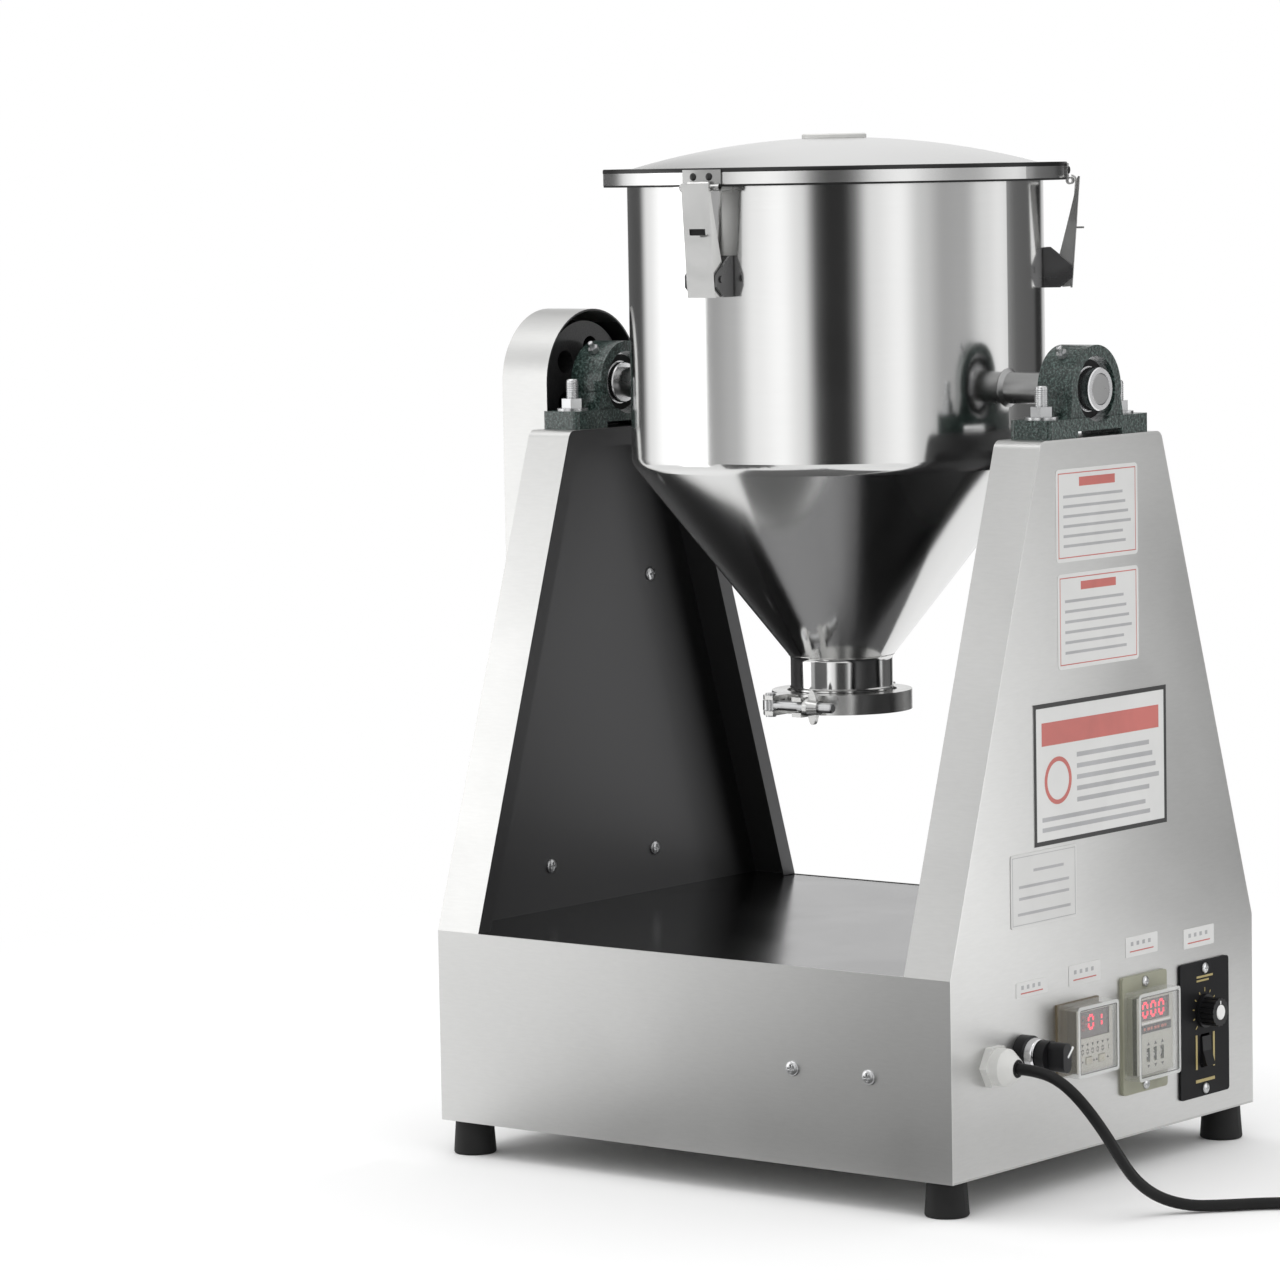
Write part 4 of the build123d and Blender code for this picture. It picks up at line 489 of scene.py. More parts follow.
def plastic(color, roughness, swing=0.08, grain=900.0, **sockets):
    """Moulded plastic or rubber: faint texture, slightly uneven tone."""
    material, tree, shader = start_material(color, roughness, **sockets)
    smears = use_group(tree, "marks", Scale=25.0, Sharpness=0.4)["Mask"]
    feed(tree, shader.inputs["Base Color"], mixed(tree, smears, *tones(color, swing)))
    feed(tree, shader.inputs["Roughness"], mixed(tree, smears, roughness, roughness + 0.12))
    add_bump(tree, shader, use_group(tree, "hammer", Scale=grain)["Height"], 0.3, 0.00003)
    return material


def hammered(dark, light, roughness, scale, depth):
    """Hammered paint on a casting."""
    material, tree, shader = start_material(dark, roughness, Coat_Weight=0.5, Coat_Roughness=0.15)
    skin = use_group(tree, "hammer", Scale=scale)
    feed(tree, shader.inputs["Base Color"], mixed(tree, skin["Speckle"], dark, light))
    add_bump(tree, shader, skin["Height"], 0.8, depth)
    return material


def two_tone(near, far, reach):
    """Plastic whose colour changes past a reach from the panel, such as a face on a housing."""
    material, tree, shader = start_material(near, 0.42)
    past = use_group(tree, "past", Distance=panel_x + reach)["Mask"]
    smears = use_group(tree, "marks", Scale=30.0, Sharpness=0.4)["Mask"]
    ground = mixed(tree, smears, near, tuple(channel * 0.86 for channel in near))
    feed(tree, shader.inputs["Base Color"], mixed(tree, past, ground, far))
    add_bump(tree, shader, use_group(tree, "hammer", Scale=900.0)["Height"], 0.3, 0.00004)
    return material


def clear_cover(color, through, glancing):
    """Clear moulded plastic, glossy with faint scuffs; the two numbers are how solid it looks."""
    material, tree, shader = start_material(color, 0.06, IOR=1.46, Alpha=through)
    smears = use_group(tree, "marks", Scale=60.0, Sharpness=0.3)["Mask"]
    feed(tree, shader.inputs["Roughness"], mixed(tree, smears, 0.04, 0.16))
    glance = add_node(tree, "ShaderNodeLayerWeight", {"Blend": 0.25}).outputs["Facing"]
    feed(tree, shader.inputs["Alpha"], mixed(tree, glance, through, glancing))
    return material


def uneven(color, roughness, first, second, scale, socket="Base Color", **sockets):
    """A material that drifts between two tones of a colour by soft marks; gives material, tree and shader."""
    material, tree, shader = start_material(color, roughness, **sockets)
    drift = use_group(tree, "marks", Scale=scale, Sharpness=0.3)["Mask"]
    feed(tree, shader.inputs[socket], mixed(tree, drift, first, second))
    return material, tree, shader


# Finishes
finish = {
    # The dark tone on the inner faces of the frame and side sheets is painted shade, for the shade inside the
    # machine.
    "frame sheet": steel((0.62, 0.62, 0.611), 0.32, (9, 60, 60), 9.0, 0.00002, lined=(0.14, 0.14, 0.142)),
    "side sheet": steel((0.58, 0.58, 0.572), 0.33, (60, 9, 60), 9.0, 0.00002, lined=(0.14, 0.14, 0.142)),
    # The deck is the same steel as the front, bent back; its near-black colour is a painted dark reflection.
    "deck sheet": steel((0.145, 0.145, 0.147), 0.17, (60, 9, 60), 8.0, 0.00001, marks=9.0,
                        roughness_swing=0.05),
    "under sheet": steel((0.50, 0.50, 0.49), 0.42, (40, 9, 40), 8.0, 0.00002),
    "drum sheet": steel((0.70, 0.70, 0.695), 0.10, (9, 9, 420), marks=4.0,
                        tone_swing=0.03, roughness_swing=0.05),
    "lid sheet": steel((0.72, 0.72, 0.715), 0.20, (30, 30, 30), 9.0, 0.000006,
                       tone_swing=0.03, roughness_swing=0.06),
    "latch steel": steel((0.86, 0.86, 0.85), 0.20, (60, 60, 300), marks=30.0, roughness_swing=0.06),
    "catch steel": steel((0.46, 0.46, 0.455), 0.22, (60, 60, 300), marks=30.0),
    "hook steel": steel((0.88, 0.88, 0.87), 0.42, (60, 60, 300), marks=30.0),
    "bracket steel": steel((0.17, 0.17, 0.172), 0.24, (60, 60, 300), marks=30.0),
    # Near-black steel for painted light: the dark reflection on the lid's rim and the painted shade of the
    # catch rivets.
    "edge steel": steel((0.045, 0.045, 0.045), 0.3, (60, 60, 60), marks=20.0),
    "clamp steel": steel((0.66, 0.66, 0.65), 0.20, (200, 200, 200), 3.0, 0.000015,
                         marks=40.0, roughness_swing=0.08),
    "shaft steel": steel((0.42, 0.42, 0.42), 0.25, (900, 12, 12), 3.0, 0.00003, marks=40.0),
    "fastener steel": steel((0.58, 0.585, 0.59), 0.25, (150, 150, 150), 5.0, 0.00003, marks=60.0),
    "ring steel": steel((0.78, 0.78, 0.79), 0.16, (500, 20, 20), 4.0, 0.00001, marks=50.0),
    "casting green": hammered((0.004, 0.014, 0.011), (0.095, 0.145, 0.13), 0.34, 330.0, 0.0006),
    "pulley iron": hammered((0.014, 0.014, 0.015), (0.035, 0.035, 0.035), 0.5, 500.0, 0.0002),
    "motor paint": hammered((0.045, 0.07, 0.085), (0.07, 0.10, 0.12), 0.45, 500.0, 0.0001),
    "rubber": plastic((0.013, 0.013, 0.013), 0.55, 0.3, 1200.0, Specular_IOR_Level=0.25),
    "cord rubber": plastic((0.008, 0.008, 0.008), 0.38, 0.25, 1500.0, Specular_IOR_Level=0.22),
    "silicone": plastic((0.80, 0.80, 0.78), 0.5, 0.04),
    "white nylon": plastic((0.66, 0.66, 0.64), 0.38, 0.05),
    "black plastic": plastic((0.009, 0.009, 0.010), 0.32, 0.25, Specular_IOR_Level=0.3),
    "counter plastic": plastic((0.15, 0.12, 0.075), 0.42),
    "timer plastic": plastic((0.33, 0.33, 0.25), 0.42),
    "counter bezel": two_tone((0.12, 0.10, 0.065), (0.53, 0.51, 0.46), counter_face_reach - bezel_side_depth),
    # The dark near colour of the timer bezel is painted shade on its side walls; its face keeps the pale
    # colour.
    "timer bezel": two_tone((0.085, 0.088, 0.055), (0.53, 0.52, 0.47), timer_face_reach - bezel_side_depth),
    "wheel plastic": plastic((0.10, 0.098, 0.09), 0.4),
    "plate black": plastic((0.008, 0.008, 0.009), 0.46, 0.2, Specular_IOR_Level=0.14),
    "red plastic": plastic((0.42, 0.02, 0.015), 0.3),
    "beige plastic": plastic((0.5, 0.47, 0.38), 0.4),
    "label film": plastic((0.72, 0.72, 0.71), 0.45, 0.03),
    "plate silver": plastic((0.62, 0.62, 0.61), 0.35, 0.03, Metallic=0.35),
    "label grey": plastic((0.42, 0.42, 0.43), 0.5, 0.1),
    "label dark": plastic((0.035, 0.034, 0.040), 0.5, 0.1),
    "label red": plastic((0.55, 0.16, 0.14), 0.5, 0.1),
    "label black": plastic((0.03, 0.03, 0.03), 0.5, 0.1),
    "gold print": plastic((0.45, 0.36, 0.14), 0.35, 0.1),
    "white print": plastic((0.85, 0.85, 0.84), 0.4, 0.03),
    "unlit segments": plastic((0.20, 0.035, 0.045), 0.35),
    "clear cover": clear_cover((0.72, 0.73, 0.71), 0.06, 0.42),
    # Painted highlight: a paler, more solid clear plastic for the light caught in a cover's rounded edge.
    "clear edge": clear_cover((0.84, 0.85, 0.84), 0.40, 0.7),
    # Painted shade: a dark clear plastic for the shade at a cover's inner corner.
    "clear corner": clear_cover((0.20, 0.20, 0.20), 0.55, 0.7),
    "lit segments": uneven((0.8, 0.03, 0.05), 0.3, (0.95, 0.02, 0.07), (1.0, 0.05, 0.11),
                           120.0, "Emission Color", Emission_Strength=1.3)[0],
    "display window": uneven((0.12, 0.09, 0.095), 0.25, (0.15, 0.125, 0.13), (0.12, 0.10, 0.105), 90.0)[0],
}

for label, material in finish.items():
    material.name = label

# The finish of every node of the frame
node_finish = {
    "frame sheet": "front_fascia rear_fascia belt_guard",
    "side sheet": "side_panel_left side_panel_right",
    "deck sheet": "deck_plate",
    "under sheet": "bottom_pan seat_plates motor_bracket",
    "drum sheet": "drum_shell outlet_cap",
    "lid sheet": "lid",
    "bracket steel": "latch_brackets",
    "catch steel": "catch_plates",
    "hook steel": "latch_hook_1 latch_hook_2 latch_hook_3",
    "latch steel": "latch_lever_1 latch_lever_2 latch_lever_3",
    "clamp steel": "clamp_half_left clamp_half_right wing_nut",
    "fastener steel": "clamp_pins swing_bolt bearing_hardware frame_screws",
    "shaft steel": "stub_shaft_left stub_shaft_right motor_shaft",
    "ring steel": "bearing_inner_rings bearing_outer_rings",
    "casting green": "pillow_block_left pillow_block_right",
    "pulley iron": "drum_pulley motor_pulley",
    "motor paint": "gear_motor",
    "rubber": "rubber_feet drive_belt power_plug",
    "silicone": "lid_gasket outlet_gasket",
    "white nylon": "cable_gland lid_cap",
    "black plastic": "switch_collar switch_knob speed_knob run_rocker",
    "wheel plastic": "timer_wheel_1 timer_wheel_2 timer_wheel_3",
    "counter plastic": "counter_case",
    "timer plastic": "timer_case",
    "plate black": "speed_plate",
    "beige plastic": "counter_key_1",
    "red plastic": "counter_key_2",
    "clear cover": "counter_cover timer_cover",
}


def finish_nodes():
    """Gives every node of the frame its finish."""
    for label, names in node_finish.items():
        for name in names.split():
            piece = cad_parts[name]
            if not piece.material_slots:
                piece.data.materials.append(finish[label])
            for place in piece.material_slots:
                place.link = "OBJECT"
                place.material = finish[label]


# Power cord
cord_radius = 0.0045
cord_route = [
    (0.2790, -0.1590, 0.1120),
    (0.2990, -0.1590, 0.1120),
    (0.3185, -0.1583, 0.1053),
    (0.3340, -0.1550, 0.0915),
    (0.3480, -0.1475, 0.0700),
    (0.3550, -0.1360, 0.0480),
    (0.3590, -0.1210, 0.0285),
    (0.3680, -0.1040, 0.0135),
    (0.3840, -0.0850, 0.0055),
    (0.4020, -0.0650, 0.0048),
    (0.4210, -0.0440, 0.0049),
    (0.4415, -0.0260, 0.0047),
    (0.4620, -0.0090, 0.0047),
    (0.4800, 0.0065, 0.0047),
]
coil_centre = (0.459, 0.067)
coil_start_angle = -49.6
coil_turns = 4.245
coil_outer_radius = 0.059
coil_lower_turns = 2.5
coil_rise_start = 2.0
coil_level = 0.0047
coil_layer_gap = 0.0002
coil_points_per_turn = 16
control_share = 1.0194
plug_reaches = (0.013, 0.026, 0.038)


def coil_point(turns):
    """A control point of the coil: its middle line winds in on the floor, then out on top of itself."""
    angle = radians(coil_start_angle + 360.0 * turns)
    pitch = 2 * cord_radius
    inward = min(turns, coil_lower_turns)
    radius = coil_outer_radius - pitch * inward + pitch * (turns - inward)
    lift = min(max((turns - coil_rise_start) / (coil_lower_turns - coil_rise_start), 0.0), 1.0)
    return (
        coil_centre[0] + control_share * radius * cos(angle),
        coil_centre[1] + control_share * radius * sin(angle),
        coil_level + (pitch + coil_layer_gap) * lift,
    )


def add_power_cord():
    """The cord from the gland to the floor, into its coil and on to the plug, one smooth spline."""
    steps = int(round(coil_turns * coil_points_per_turn))
    coil = [Vector(coil_point(coil_turns * step / steps)) for step in range(steps + 1)]
    exit_angle = radians(coil_start_angle + 360.0 * coil_turns)
    leave = Vector((-sin(exit_angle), cos(exit_angle), 0))
    tail = [coil[-1] + leave * reach for reach in plug_reaches]
    points = [Vector(point) for point in cord_route] + coil + tail
    curve = bpy.data.curves.new("power_cord_line", "CURVE")
    curve.dimensions = "3D"
    spline = curve.splines.new("NURBS")
    spline.points.add(len(points) - 1)
    for knot, point in zip(spline.points, points):
        knot.co = (*point, 1.0)
    spline.order_u = 3
    spline.use_endpoint_u = True
    spline.resolution_u = 5
    curve.bevel_depth = cord_radius
    curve.bevel_resolution = 5
    curve.use_fill_caps = True
    curve.materials.append(finish["cord rubber"])
    cord = bpy.data.objects.new("power_cord_sheath", curve)
    scene.collection.objects.link(cord)
    placed(cord, "frame")
    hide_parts("power_cord", "cord_coil")


# Repeated small pieces, set out by a node tree
def build_repeat_tree():
    """A node tree that sets a piece on points, each facing its own way, with a named size."""
    tree = bpy.data.node_groups.new("set out on points", "GeometryNodeTree")
    for label, kind, way in (
        ("Geometry", "Geometry", "INPUT"), ("Piece", "Object", "INPUT"), ("Size", "Float", "INPUT"),
        ("Finish", "Material", "INPUT"), ("Geometry", "Geometry", "OUTPUT"),
    ):
        tree.interface.new_socket(label, in_out=way, socket_type="NodeSocket" + kind)
    given = add_node(tree, "NodeGroupInput").outputs
    source = add_node(tree, "GeometryNodeObjectInfo", {"Object": given["Piece"]})
    facing = add_node(tree, "GeometryNodeInputNamedAttribute", {"Name": "facing"}, data_type="FLOAT_VECTOR")
    inputs = {"Vector": facing.outputs["Attribute"]}
    align = add_node(tree, "FunctionNodeAlignRotationToVector", inputs, axis="Z")
    copies = add_node(tree, "GeometryNodeInstanceOnPoints", {
        "Points": given["Geometry"], "Instance": source.outputs["Geometry"],
        "Rotation": align.outputs["Rotation"], "Scale": given["Size"],
    })
    solid = add_node(tree, "GeometryNodeRealizeInstances", {"Geometry": copies.outputs["Instances"]})
    inputs = {"Geometry": solid.outputs["Geometry"], "Material": given["Finish"]}
    dressed = add_node(tree, "GeometryNodeSetMaterial", inputs)
    add_node(tree, "NodeGroupOutput", {"Geometry": dressed.outputs["Geometry"]})
    return tree


repeat_tree = build_repeat_tree()


def set_out(name, pattern, spots, coat, body, size=1.0):
    """One mesh of a pattern piece repeated at each (place, facing)."""
    mesh = bpy.data.meshes.new(name + "_spots")
    mesh.from_pydata([tuple(place) for place, facing in spots], [], [])
    attribute = mesh.attributes.new("facing", "FLOAT_VECTOR", "POINT")
    for index, (place, facing) in enumerate(spots):
        attribute.data[index].vector = facing
    carrier = bpy.data.objects.new(name + "_spots", mesh)
    scene.collection.objects.link(carrier)
    modifier = carrier.modifiers.new("set out", "NODES")
    modifier.node_group = repeat_tree
    values = {"Piece": pattern, "Size": size, "Finish": finish[coat]}
    for item in repeat_tree.interface.items_tree:
        if item.in_out == "INPUT" and item.name in values:
            modifier[item.identifier] = values[item.name]
    result = evaluated_mesh(carrier)
    result.name = name
    bpy.data.objects.remove(carrier)
    return placed(object_from(name, result, finish[coat]), body)


# Screw and rivet heads
head_sink = 0.0004
screw_radius = 0.006
screw_height = 0.0032
screw_wall_share = 0.35
recess_width = 0.0013
recess_depth = 0.0012
rivet_radius = 0.0028
rivet_height = 0.0011


def dome(radius, height, steps, wall=0.0):
    """Profile of a dome from its rim to its top; wall is the share of its height that stands straight."""
    angles = [0.5 * pi * step / steps for step in range(steps)]
    sides = [(height * (wall + (1 - wall) * sin(angle)), radius * cos(angle)) for angle in angles]
    return sides + [(height, 0.0)]


def screw_head():
    """A domed head with a cross recess, standing on its seat and facing +Z."""
    bm = bmesh.new()
    foot = [(-head_sink, 0.0), (-head_sink, screw_radius * 0.98), (0.0, screw_radius)]
    add_turned(bm, (0, 0, 0), (0, 0, 1), foot + dome(screw_radius, screw_height, 5, screw_wall_share), 28)
    piece = from_bmesh("screw_pattern", bm, finish["fastener steel"])
    bm = bmesh.new()
    arm = screw_radius * 0.55
    for size in ((arm, recess_width / 2), (recess_width / 2, arm)):
        made = bmesh.ops.create_cube(bm, size=1.0)
        bmesh.ops.scale(bm, verts=made["verts"], vec=(2 * size[0], 2 * size[1], 2 * recess_depth))
        bmesh.ops.translate(bm, verts=made["verts"], vec=(0, 0, screw_height))
    cutter = from_bmesh("recess_cutter", bm, finish["fastener steel"])
    cut = piece.modifiers.new("recess", "BOOLEAN")
    cut.object = cutter
    cut.operation = "DIFFERENCE"
    cut.solver = "EXACT"
    cut.use_self = True
    mesh = evaluated_mesh(piece)
    piece.modifiers.clear()
    piece.data = mesh
    bpy.data.objects.remove(cutter)
    return piece


def rivet_head():
    """A low domed rivet head facing +Z."""
    bm = bmesh.new()
    foot = [(-head_sink, 0.0), (-head_sink, rivet_radius)]
    add_turned(bm, (0, 0, 0), (0, 0, 1), foot + dome(rivet_radius, rivet_height, 4), 20)
    return from_bmesh("rivet_pattern", bm, finish["fastener steel"])


# Where screws and rivets sit
front_screw_xs = (0.105, 0.178)
front_screw_z = 0.104
wall_screw_inset = 0.0015
wall_screw_y = 0.0695
wall_screw_zs = (0.220, 0.455)
pan_screw_place = (0.236, 0.194, 0.014)
timer_screw_rise = 0.041
timer_screw_reach = 0.0030
speed_screw_rise = 0.049
plate_face_reach = 0.0020
plate_screw_size = 0.72
first_latch_angle = radians(3.0)
catch_rivet_radius = 0.18795
catch_rivet_side = 0.0075
catch_rivet_z = 0.7915
catch_rivet_size = 1.1


def latch_directions():
    """For each latch, the directions out from the drum's axis and across the latch."""
    for number in range(3):
        angle = first_latch_angle + radians(120.0 * number)
        yield Vector((sin(angle), -cos(angle), 0)), Vector((cos(angle), sin(angle), 0))


def add_fasteners():
    """Screw heads on the front, the inner wall, the pan and the plates, and rivets on the catches."""
    screw = screw_head()
    pan_x, pan_y, pan_z = pan_screw_place
    seats = [((x, front_y, front_screw_z), (0, -1, 0)) for x in front_screw_xs]
    seats += [((wall_screw_inset - panel_x, y, z), (1, 0, 0))
              for y in (-wall_screw_y, wall_screw_y) for z in wall_screw_zs]
    seats += [((x, y, pan_z), (0, 0, -1)) for x in (-pan_x, pan_x) for y in (-pan_y, pan_y)]
    heads = set_out("frame_screw_heads", screw, seats, "fastener steel", "frame")
    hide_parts("frame_screws")
    seats = [((panel_x + reach, place[0], place[1] + side * rise), (1, 0, 0))
             for place, rise, reach in ((timer_place, timer_screw_rise, timer_screw_reach),
                                        (middle("speed_plate")[1:], speed_screw_rise, plate_face_reach))
             for side in (-1, 1)]
    set_out("plate_screw_heads", screw, seats, "fastener steel", "frame", plate_screw_size)
    bpy.data.objects.remove(screw)
    rivet = rivet_head()
    level = Vector((0, 0, catch_rivet_z))
    spots = [(outward * catch_rivet_radius + across * (catch_rivet_side * side) + level, outward)
             for outward, across in latch_directions() for side in (-1, 1)]
    # The rivets are near-black as painted shade, for rivets that sit in shadow.
    set_out("catch_rivets", rivet, spots, "edge steel", "lid", catch_rivet_size)
    bpy.data.objects.remove(rivet)


# Bearings, drum, lid and latches
bolt_y = 0.0525
bolt_rise = 0.026
bolt_point = 0.0012
foot_thickness = 0.015
washer_thickness = 0.002
nut_height = 0.008
thread_start_gap = 0.0005
thread_pitch = 0.0015
thread_root = 0.0049
thread_crest = 0.00535
thread_valley = 0.00495
thread_end = 0.0045
seal_offset = 0.0085
hook_pin = (0.1855, 0.7030)
lever_lean = radians(85.6)
lever_slot_start = 0.0437
# Size and place of the dark sheet painted as shade in each lever's slot
slot_shade_lengths = (-0.0012, 0.0062)
slot_shade_side = 0.0083
slot_shade_depths = (0.00305, 0.00345)
lid_rim_z = 0.798


def add_bolt_threads():
    """Thread ridges on the free ends of the bearing bolts."""
    start = bearing_seat_z + foot_thickness + washer_thickness + nut_height + thread_start_gap
    end = bearing_seat_z + foot_thickness + bolt_rise - bolt_point
    count = int((end - start) / thread_pitch)
    profile = [(0.0, thread_root)]
    for turn in range(count):
        profile.append((turn * thread_pitch + 0.35 * thread_pitch, thread_crest))
        profile.append((turn * thread_pitch + 0.65 * thread_pitch, thread_crest))
        profile.append(((turn + 1) * thread_pitch, thread_valley))
    profile.append((count * thread_pitch, thread_end))
    rings = [((x, y, start), (0, 0, 1), profile) for x in (-bearing_x, bearing_x) for y in (-bolt_y, bolt_y)]
    add_rings("bearing_bolt_threads", rings, 28, "fastener steel", "frame", smooth_angle=25.0)


def add_bearing_seals():
    """Dark seals in both faces of each bearing."""
    profile = [(0.0, 0.0178), (0.0006, 0.0182), (0.0006, 0.0228), (0.0, 0.0232)]
    rings = [((side * bearing_x + turn * seal_offset, 0, trunnion_z), (turn, 0, 0), profile)
             for side in (-1, 1) for turn in (-1, 1)]
    add_rings("bearing_seals", rings, 48, "rubber", "frame")


def add_latch_slot_shades():
    """Dark sheet behind the slot of each lever, in the gap between the lever and its hook: painted shade for
    the slot's dark inside.
    """
    upward = Vector((0, 0, 1))
    short, long = slot_shade_lengths
    outline = ((short, -slot_shade_side), (short, slot_shade_side), (long, slot_shade_side), (long, -slot_shade_side))
    for number, (outward, across) in enumerate(latch_directions(), start=1):
        along = outward * cos(lever_lean) + upward * sin(lever_lean)
        out = outward * sin(lever_lean) - upward * cos(lever_lean)
        root = outward * hook_pin[0] + upward * hook_pin[1]
        bm = bmesh.new()
        add_prism(bm, *[[root + along * (lever_slot_start + length) + across * side + out * depth
                         for length, side in outline] for depth in slot_shade_depths])
        add_piece(f"lever_slot_pad_{number}", bm, "rubber", f"lever_{number}")


def add_round_lines():
    """Dark ring on the lid's rim as a painted dark reflection, dark ring under its skirt as a painted shadow
    on the drum, and weld beads at both ends of the neck.
    """
    edge = [(-0.0031, 0.1860), (-0.0031, 0.18680), (-0.0008, 0.18685), (0.0002, 0.1863), (0.0003, 0.1852),
            (-0.0004, 0.1850)]
    # A near-black ring on the rim's top edge: painted dark reflection of the rolled edge.
    add_rings("lid_rolled_edge", [((0, 0, lid_rim_z), (0, 0, 1), edge)], 144, "edge steel", "lid")
    # A dark ring just under the lid's skirt: painted shadow on the drum below the rim.
    skirt_shadow_profile = [(-0.0016, 0.1849), (-0.0016, 0.1862), (0.0001, 0.1864), (0.0001, 0.1849)]
    skirt = (0, 0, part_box("lid")[0][2])
    add_rings("lid_skirt_seal", [(skirt, (0, 0, 1), skirt_shadow_profile)], 144, "rubber", "lid")
    bead = ((-0.0012, -0.0006), (0.0, 0.0009), (0.0012, -0.0003), (0.0, -0.001))
    beads = [((0, 0, height), (0, 0, 1), [(along, radius + swell) for along, swell in bead])
             for height, radius in ((0.3775, 0.0415), (0.4035, 0.0424))]
    add_rings("neck_weld_beads", beads, 72, "clamp steel", "drum")


# Selector switch and gland
def add_switch_details():
    """Chrome ring round the selector and the white line on its grip."""
    centre = Vector((panel_x, *switch_place))
    profile = [(0.0088, 0.0128), (0.0150, 0.0132), (0.0168, 0.0128), (0.0176, 0.0120), (0.0176, 0.0112),
               (0.0165, 0.0109), (0.0088, 0.0109)]
    add_rings("selector_chrome_ring", [(centre, (1, 0, 0), profile)], 56, "ring steel", "frame")
    tilt = radians(45.0)
    along = Vector((0, cos(tilt), sin(tilt)))
    across = Vector((0, -sin(tilt), cos(tilt)))
    near, far, half_width = 0.0005, 0.0108, 0.0009
    outline = ((near, -half_width), (far, -half_width), (far, half_width), (near, half_width))
    bm = bmesh.new()
    add_prism(bm, *[[centre + Vector((reach, 0, 0)) + along * end + across * side for end, side in outline]
                    for reach in (0.0415, 0.0424)])
    add_piece("selector_white_line", bm, "white print", "switch")


def add_gland_seal():
    """Black seal in the mouth of the gland."""
    profile = [(0.0236, 0.0046), (0.0244, 0.0047), (0.0244, 0.0068), (0.0236, 0.0072)]
    ring = ((panel_x, *middle("cable_gland")[1:]), (1, 0, 0), profile)
    add_rings("gland_seal", [ring], 40, "rubber", "frame")


# Display digits of seven bars
segment_bars = {
    "a": ((-1, 1), (1, 1)), "b": ((1, 1), (1, 0)), "c": ((1, 0), (1, -1)), "d": ((-1, -1), (1, -1)),
    "e": ((-1, 0), (-1, -1)), "f": ((-1, 1), (-1, 0)), "g": ((-1, 0), (1, 0)),
}
digit_segments = {0: "abcdef", 1: "bc", 5: "afgcd", 8: "abcdefg"}


def add_digit(bm, value, place, half_width, half_height, bar, low_reach, high_reach):
    """Adds one digit on the right panel, centred at its (y, z) place."""
    trim = bar * 0.45
    for label in digit_segments[value]:
        (start_a, start_b), (end_a, end_b) = segment_bars[label]
        ys = sorted((place[0] + start_a * half_width, place[0] + end_a * half_width))
        zs = sorted((place[1] + start_b * half_height, place[1] + end_b * half_height))
        if zs[0] == zs[1]:
            low, high = (ys[0] + trim, zs[0] - bar / 2), (ys[1] - trim, zs[0] + bar / 2)
        else:
            low, high = (ys[0] - bar / 2, zs[0] + trim), (ys[0] + bar / 2, zs[1] - trim)
        add_panel_box(bm, low, high, low_reach, high_reach)


def add_tick(bm, y, z, half_width, height, low_reach, high_reach):
    """Adds a small triangle on the right panel; a negative height points down."""
    outline = [(y - half_width, z), (y + half_width, z), (y, z + height)]
    add_panel_prism(bm, outline, low_reach, high_reach)


def add_display(name, place, half_width, low_z, high_z, reach, digits, half_size, bar):
    """Smoked window with lit and unlit digits; each digit is (value, shift, height, lit)."""
    window = box_about(place, (-half_width, low_z), (half_width, high_z), reach - 0.0006, reach, 0.001)
    add_boxes(name + "_window", [window], "display window", "frame")
    meshes = {True: bmesh.new(), False: bmesh.new()}
    for value, shift, height, lit in digits:
        spot = (place[0] + shift, place[1] + height)
        add_digit(meshes[lit], value, spot, *half_size, bar, reach - overlap, reach + print_height)
    for lit, label, coat in ((True, "_digits", "lit segments"), (False, "_unlit_digits", "unlit segments")):
        if meshes[lit].verts:
            add_piece(name + label, meshes[lit], coat, "frame")
        else:
            meshes[lit].free()


def add_cover_edges(name):
    """Rounded edge of a clear cover made bright as a painted highlight, and a dark line at its inner corner
    as painted shade.
    """
    (_, *low), (high_x, *high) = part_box(name)
    reach = high_x - panel_x
    edge = inset(low, high, overlap)
    add_panel_frame(name + "_bright_edge", *edge, 0.0030, 0.0026, reach - overlap, reach + print_height,
                    "clear edge", name)
    add_panel_frame(name + "_inner_line", *inset(*edge, 0.0027), 0.0014, 0.0007, reach - overlap,
                    reach + overlap, "clear corner", name)


